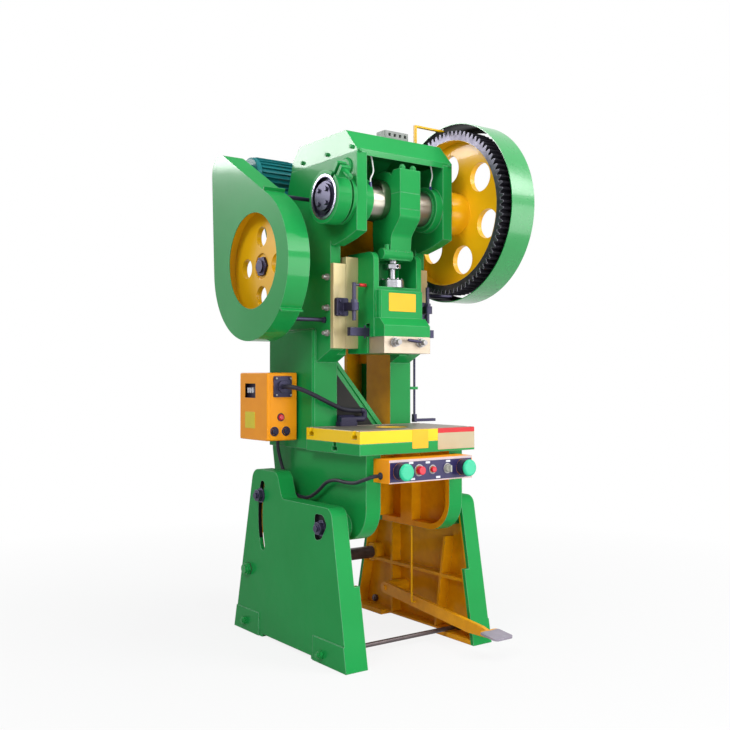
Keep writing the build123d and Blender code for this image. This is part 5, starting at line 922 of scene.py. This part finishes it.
def turned_mesh(parts):
    """Turned bodies in one mesh: (start point, axis, profile of (along, radius), steps)."""
    maker = bmesh.new()
    for at, axis, profile, steps in parts:
        turn = Vector((0, 0, 1)).rotation_difference(Vector(axis)).to_matrix()
        rings = []
        for along, radius in profile:
            rings.append([maker.verts.new(Vector(at) + turn @ Vector((
                radius * math.cos(2 * math.pi * i / steps),
                radius * math.sin(2 * math.pi * i / steps), along))) for i in range(steps)])
        for lower, upper in zip(rings, rings[1:]):
            for i in range(steps):
                j = (i + 1) % steps
                maker.faces.new((lower[i], lower[j], upper[j], upper[i]))
        maker.faces.new(list(reversed(rings[0])))
        maker.faces.new(rings[-1])
    mesh = bpy.data.meshes.new("turned")
    maker.to_mesh(mesh)
    maker.free()
    return mesh


def hexagon_head(at, axis, across_flats, tall=None):
    """A washer and a hexagon head with its corners turned down, as two turned parts."""
    tall = tall or across_flats * 0.62
    corner = across_flats / math.sqrt(3)
    washer_tall = across_flats * 0.08
    washer_radius = across_flats * 0.58
    head_at = tuple(Vector(at) + Vector(axis) * washer_tall)
    washer = ((-0.0005, washer_radius), (washer_tall * 0.8, washer_radius),
              (washer_tall, across_flats * 0.54))
    head = ((0, corner), (tall * 0.82, corner), (tall, corner * 0.86))
    return [(at, axis, washer, 20), (head_at, axis, head, 6)]


def small_part(name, mesh, body, finish):
    """Puts a finished mesh on a body of the press."""
    mesh.name = name
    mesh.materials.append(finish.material)
    part = bpy.data.objects.new(name, mesh)
    bpy.context.scene.collection.objects.link(part)
    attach(part, body)
    print(name, len(mesh.polygons), "faces on", body)


# %% [markdown]
# ## Plates on the slide, the table and the box
# Five thin plates are riveted or glued to the machine. They stay plain here: a yellow one on the
# slide's brow, a yellow one, a cream one and a narrow red one above it on the front of the table,
# and an olive one on the door of the electrical box. Each stands about a millimetre proud of what
# carries it, and its back lies just inside, so that no gap shows.

# %% Plain plates
PLATE_GRAIN = 300.0
plate_yellow = moulded("yellow_plate", (0.88, 0.47, 0.003, 1), (0.76, 0.36, 0.003, 1), 0.32,
                       PLATE_GRAIN, coat=0.1)
plate_cream = moulded("cream_plate", (0.52, 0.44, 0.29, 1), (0.43, 0.35, 0.21, 1), 0.38,
                      PLATE_GRAIN)
plate_red = moulded("red_plate", (0.60, 0.015, 0.020, 1), (0.48, 0.010, 0.016, 1), 0.34,
                    PLATE_GRAIN, coat=0.1)
plate_olive = moulded("olive_plate", (0.72, 0.60, 0.03, 1), (0.58, 0.46, 0.02, 1), 0.36,
                      PLATE_GRAIN)
SLIDE_BROW_Y, TABLE_FACE_Y, DOOR_FACE_X = -0.290, -0.398, -0.398
PLATE, PLATE_CORNER = 0.0012, 0.003
PROUD, TABLE_PROUD = 0.0005, 0.0002
ON_SLIDE = facing_front(SLIDE_BROW_Y - PROUD)
ON_TABLE = facing_front(TABLE_FACE_Y - TABLE_PROUD)
ON_DOOR = facing_side(DOOR_FACE_X - PROUD)


def plain_plate(name, low, high, place, body, finish):
    """A thin plate with small round corners."""
    outline = rounded_box(low, high, PLATE_CORNER)
    small_part(name, plate_mesh([outline], PLATE, place), body, finish)


plain_plate("slide_plate", (-0.064, 1.314), (0.068, 1.384), ON_SLIDE, "slide", plate_yellow)
plain_plate("table_plate", (-0.035, 0.788), (0.042, 0.860), ON_TABLE, "frame", plate_yellow)
plain_plate("rating_plate", (0.091, 0.779), (0.279, 0.8425), ON_TABLE, "frame", plate_cream)
plain_plate("rating_plate_head", (0.091, 0.843), (0.279, 0.861), ON_TABLE, "frame", plate_red)
plain_plate("door_plate", (0.164, 0.851), (0.244, 0.917), ON_DOOR, "door", plate_olive)

# %% [markdown]
# ## Front of the button box
# The box carries a dark blue anodised panel between two pale strips. The three small controls have
# bright rings, and small plain tags stand above and below the row. Panel and rings have holes that
# leave the CAD buttons free, so these still press in and turn. A bevel grows into a hole as well,
# so each ring's hole is cut a little wider.

# %% Button panel, rings and tags
PANEL_Y = -0.470
BUTTON_Z = 0.714
PALM_XS, PALM_HOLE = (-0.152, 0.152), 0.0312
SMALL_BUTTONS = (("stop_ring", -0.062, 0.0165), ("inch_ring", 0.003, 0.0115),
                 ("selector_ring", 0.076, 0.0135))
TAG_PLACES = ((-0.100, 0.743), (-0.020, 0.741), (-0.092, 0.6835), (0.030, 0.6835), (0.079, 0.741))
TAG_HALF_WIDE, TAG_HALF_TALL = 0.010, 0.0035
RING_CLEAR, RING_WIDE, RING_PROUD = 0.0003, 0.0050, 0.0012
RING_BEVEL, HOLE_EXTRA = 0.0007, 0.0010
PANEL_LOW, PANEL_HIGH = (-0.1975, 0.6765), (0.1975, 0.7475)
STRIP_HALF = 0.2005
STRIPS = (("panel_strip_top", 0.748, 0.7565), ("panel_strip_foot", 0.6715, 0.676))
PANEL_BACK, STRIP_BACK, TAG_PROUD = 0.0001, 0.0002, 0.0008
navy = moulded("navy_anodised", (0.020, 0.016, 0.075, 1), (0.045, 0.034, 0.120, 1), 0.30,
               grain_scale=200.0, coat=0.1)
pale_strip = moulded("pale_edge_strip", (0.62, 0.50, 0.50, 1), (0.48, 0.38, 0.42, 1), 0.34)
tag_white = moulded("white_tag", (0.72, 0.72, 0.76, 1), (0.58, 0.58, 0.64, 1), 0.36)
panel = [rounded_box(PANEL_LOW, PANEL_HIGH, 0.002)]
for across in PALM_XS:
    panel.append(ring_points(across, BUTTON_Z, PALM_HOLE))
for _, across, radius in SMALL_BUTTONS:
    panel.append(ring_points(across, BUTTON_Z, radius))
small_part("button_panel", plate_mesh(panel, PLATE, facing_front(PANEL_Y + PANEL_BACK)),
           "frame", navy)
for name, foot, top in STRIPS:
    plain_plate(name, (-STRIP_HALF, foot), (STRIP_HALF, top), facing_front(PANEL_Y + STRIP_BACK),
                "frame", pale_strip)
tags = [rounded_box((across - TAG_HALF_WIDE, up - TAG_HALF_TALL),
                    (across + TAG_HALF_WIDE, up + TAG_HALF_TALL), 0.001)
        for across, up in TAG_PLACES]
small_part("panel_tags", joined("panel_tags", [
    plate_mesh([tag], PLATE, facing_front(PANEL_Y - TAG_PROUD)) for tag in tags]),
    "frame", tag_white)


def open_ring_mesh(places, inner, outer, place, thick=0.0030, count=40):
    """Flat rings as plates with one hole each, in one mesh."""
    return joined("rings", [
        plate_mesh([ring_points(across, up, outer, count),
                    ring_points(across, up, inner + HOLE_EXTRA, count)],
                   thick, place, RING_BEVEL) for across, up in places])


for name, across, radius in SMALL_BUTTONS:
    ring = open_ring_mesh([(across, BUTTON_Z)], radius + RING_CLEAR, radius + RING_WIDE,
                          facing_front(PANEL_Y - RING_PROUD))
    small_part(name, ring, "frame", zinc)

# %% [markdown]
# ## Fittings of the electrical box
# The lamp and the two buttons on the box's front have thin dark rings. Behind the window in the
# door sits the main breaker: a dark block with three toggles. It is wider than the window, so that
# it also fills the window when seen at a slant. A rubber grommet protects the cable where it leaves
# the box below and where it enters the button box.

# %% Box fittings
BOX_FRONT_Y = 0.065
ON_BOX_FRONT = facing_front(BOX_FRONT_Y - RING_PROUD)
LAMP_PLACE = (-0.336, 0.898)
BOX_BUTTONS = ((-0.365, 0.842), (-0.312, 0.842))
LAMP_RING, BUTTON_RING = (0.0122, 0.0155), (0.0133, 0.0185)
BREAKER_X, BREAKER_DEEP = -0.3545, 0.050
BREAKER_LOW, BREAKER_HIGH = (0.176, 0.972), (0.284, 1.034)
TOGGLE_X, TOGGLE_DEEP, TOGGLE_HALF = -0.3815, 0.006, 0.0045
TOGGLE_YS, TOGGLE_LOW_Z, TOGGLE_TOP_Z = (0.209, 0.228, 0.247), 0.994, 1.014
small_part("box_lamp_ring", open_ring_mesh([LAMP_PLACE], *LAMP_RING, ON_BOX_FRONT),
           "frame", dark_plastic)
small_part("box_button_rings", open_ring_mesh(BOX_BUTTONS, *BUTTON_RING, ON_BOX_FRONT),
           "frame", blued)
small_part("breaker", plate_mesh([rounded_box(BREAKER_LOW, BREAKER_HIGH, 0.002)],
                                 BREAKER_DEEP, facing_side(BREAKER_X), 0.001),
           "frame", dark_plastic)
toggles = [rounded_box((along - TOGGLE_HALF, TOGGLE_LOW_Z), (along + TOGGLE_HALF, TOGGLE_TOP_Z),
                       0.002) for along in TOGGLE_YS]
small_part("breaker_toggles", joined("breaker_toggles", [
    plate_mesh([toggle], TOGGLE_DEEP, facing_side(TOGGLE_X), 0.001) for toggle in toggles]),
    "frame", tag_white)
LEFT, DOWN = (-1, 0, 0), (0, 0, -1)
LEAD_END, LEAD_START = (-0.2012, -0.420, 0.697), (-0.272, 0.196, 0.8038)
GROMMET = ((0, 0.0130), (0.0030, 0.0135), (0.0060, 0.0105), (0.0085, 0.0085))
small_part("lead_grommets", turned_mesh([
    (LEAD_END, LEFT, GROMMET, 28), (LEAD_START, DOWN, GROMMET, 28)]), "frame", rubber)

# %% [markdown]
# ## Screws that the frame leaves out
# The hood is held by hexagon bolts at its front corners and sides. A round boss with a bolt of its
# own stands on the left wall of the head, and the yellow bracket has one bolt on the gear's guard.
# The socket of the hose has four bright screws.

# %% Bolts and screws
RIGHT, FRONT, UP = (1, 0, 0), (0, -1, 0), (0, 0, 1)
HOOD_BOLTS = (
    ((-0.220, -0.316, 1.909), FRONT, 0.013), ((0.220, -0.316, 1.909), FRONT, 0.013),
    ((-0.235, -0.285, 1.926), LEFT, 0.014), ((-0.235, -0.118, 1.927), LEFT, 0.014),
    ((-0.235, 0.060, 1.927), LEFT, 0.014), ((0.235, -0.285, 1.926), RIGHT, 0.014),
    ((0.235, -0.118, 1.927), RIGHT, 0.014))
BOSS_AT, BOSS_BOLT_AT = (-0.2348, -0.251, 1.857), (-0.2455, -0.251, 1.857)
BRACKET_BOLT_AT = (0.307, -0.180, 2.0905)
BOSS = ((0, 0.034), (0.006, 0.033), (0.010, 0.028), (0.011, 0.020))
SCREW = ((0, 0.0042), (0.0016, 0.0042), (0.0028, 0.0026))
SOCKET_XS, SOCKET_ZS, SOCKET_Y = (-0.362, -0.296), (0.987, 1.053), 0.0524
small_part("hood_bolts", turned_mesh([part for bolt in HOOD_BOLTS for part in hexagon_head(*bolt)]),
           "frame", green)
small_part("shoulder_boss", turned_mesh([(BOSS_AT, LEFT, BOSS, 36)]
                                        + hexagon_head(BOSS_BOLT_AT, LEFT, 0.018)),
           "frame", green)
small_part("socket_screws", turned_mesh([
    ((across, SOCKET_Y, up), FRONT, SCREW, 16) for across in SOCKET_XS for up in SOCKET_ZS]),
    "frame", zinc)
small_part("bracket_bolt", turned_mesh(hexagon_head(BRACKET_BOLT_AT, UP, 0.012, 0.006)),
           "frame", zinc)

# %% [markdown]
# ## Tommy bar on the shank clamp
# A short dark bar sticks in the right nut of the clamp and points to the middle: it turns the nut
# without a spanner. It is turned from one profile with a grip at its end.

# %% Tommy bar
NUT_Y, NUT_Z, BAR_BELOW = -0.3475, 1.2035, 0.009
BAR_FROM, BAR_ALONG = (0.048, NUT_Y, NUT_Z - BAR_BELOW), (-0.99, 0.0, 0.10)
BAR = ((0, 0.0045), (0.010, 0.0045), (0.014, 0.0058), (0.048, 0.0062), (0.060, 0.0055),
       (0.064, 0.0035))
small_part("tommy_bar", turned_mesh([(BAR_FROM, BAR_ALONG, BAR, 20)]), "slide", blued)
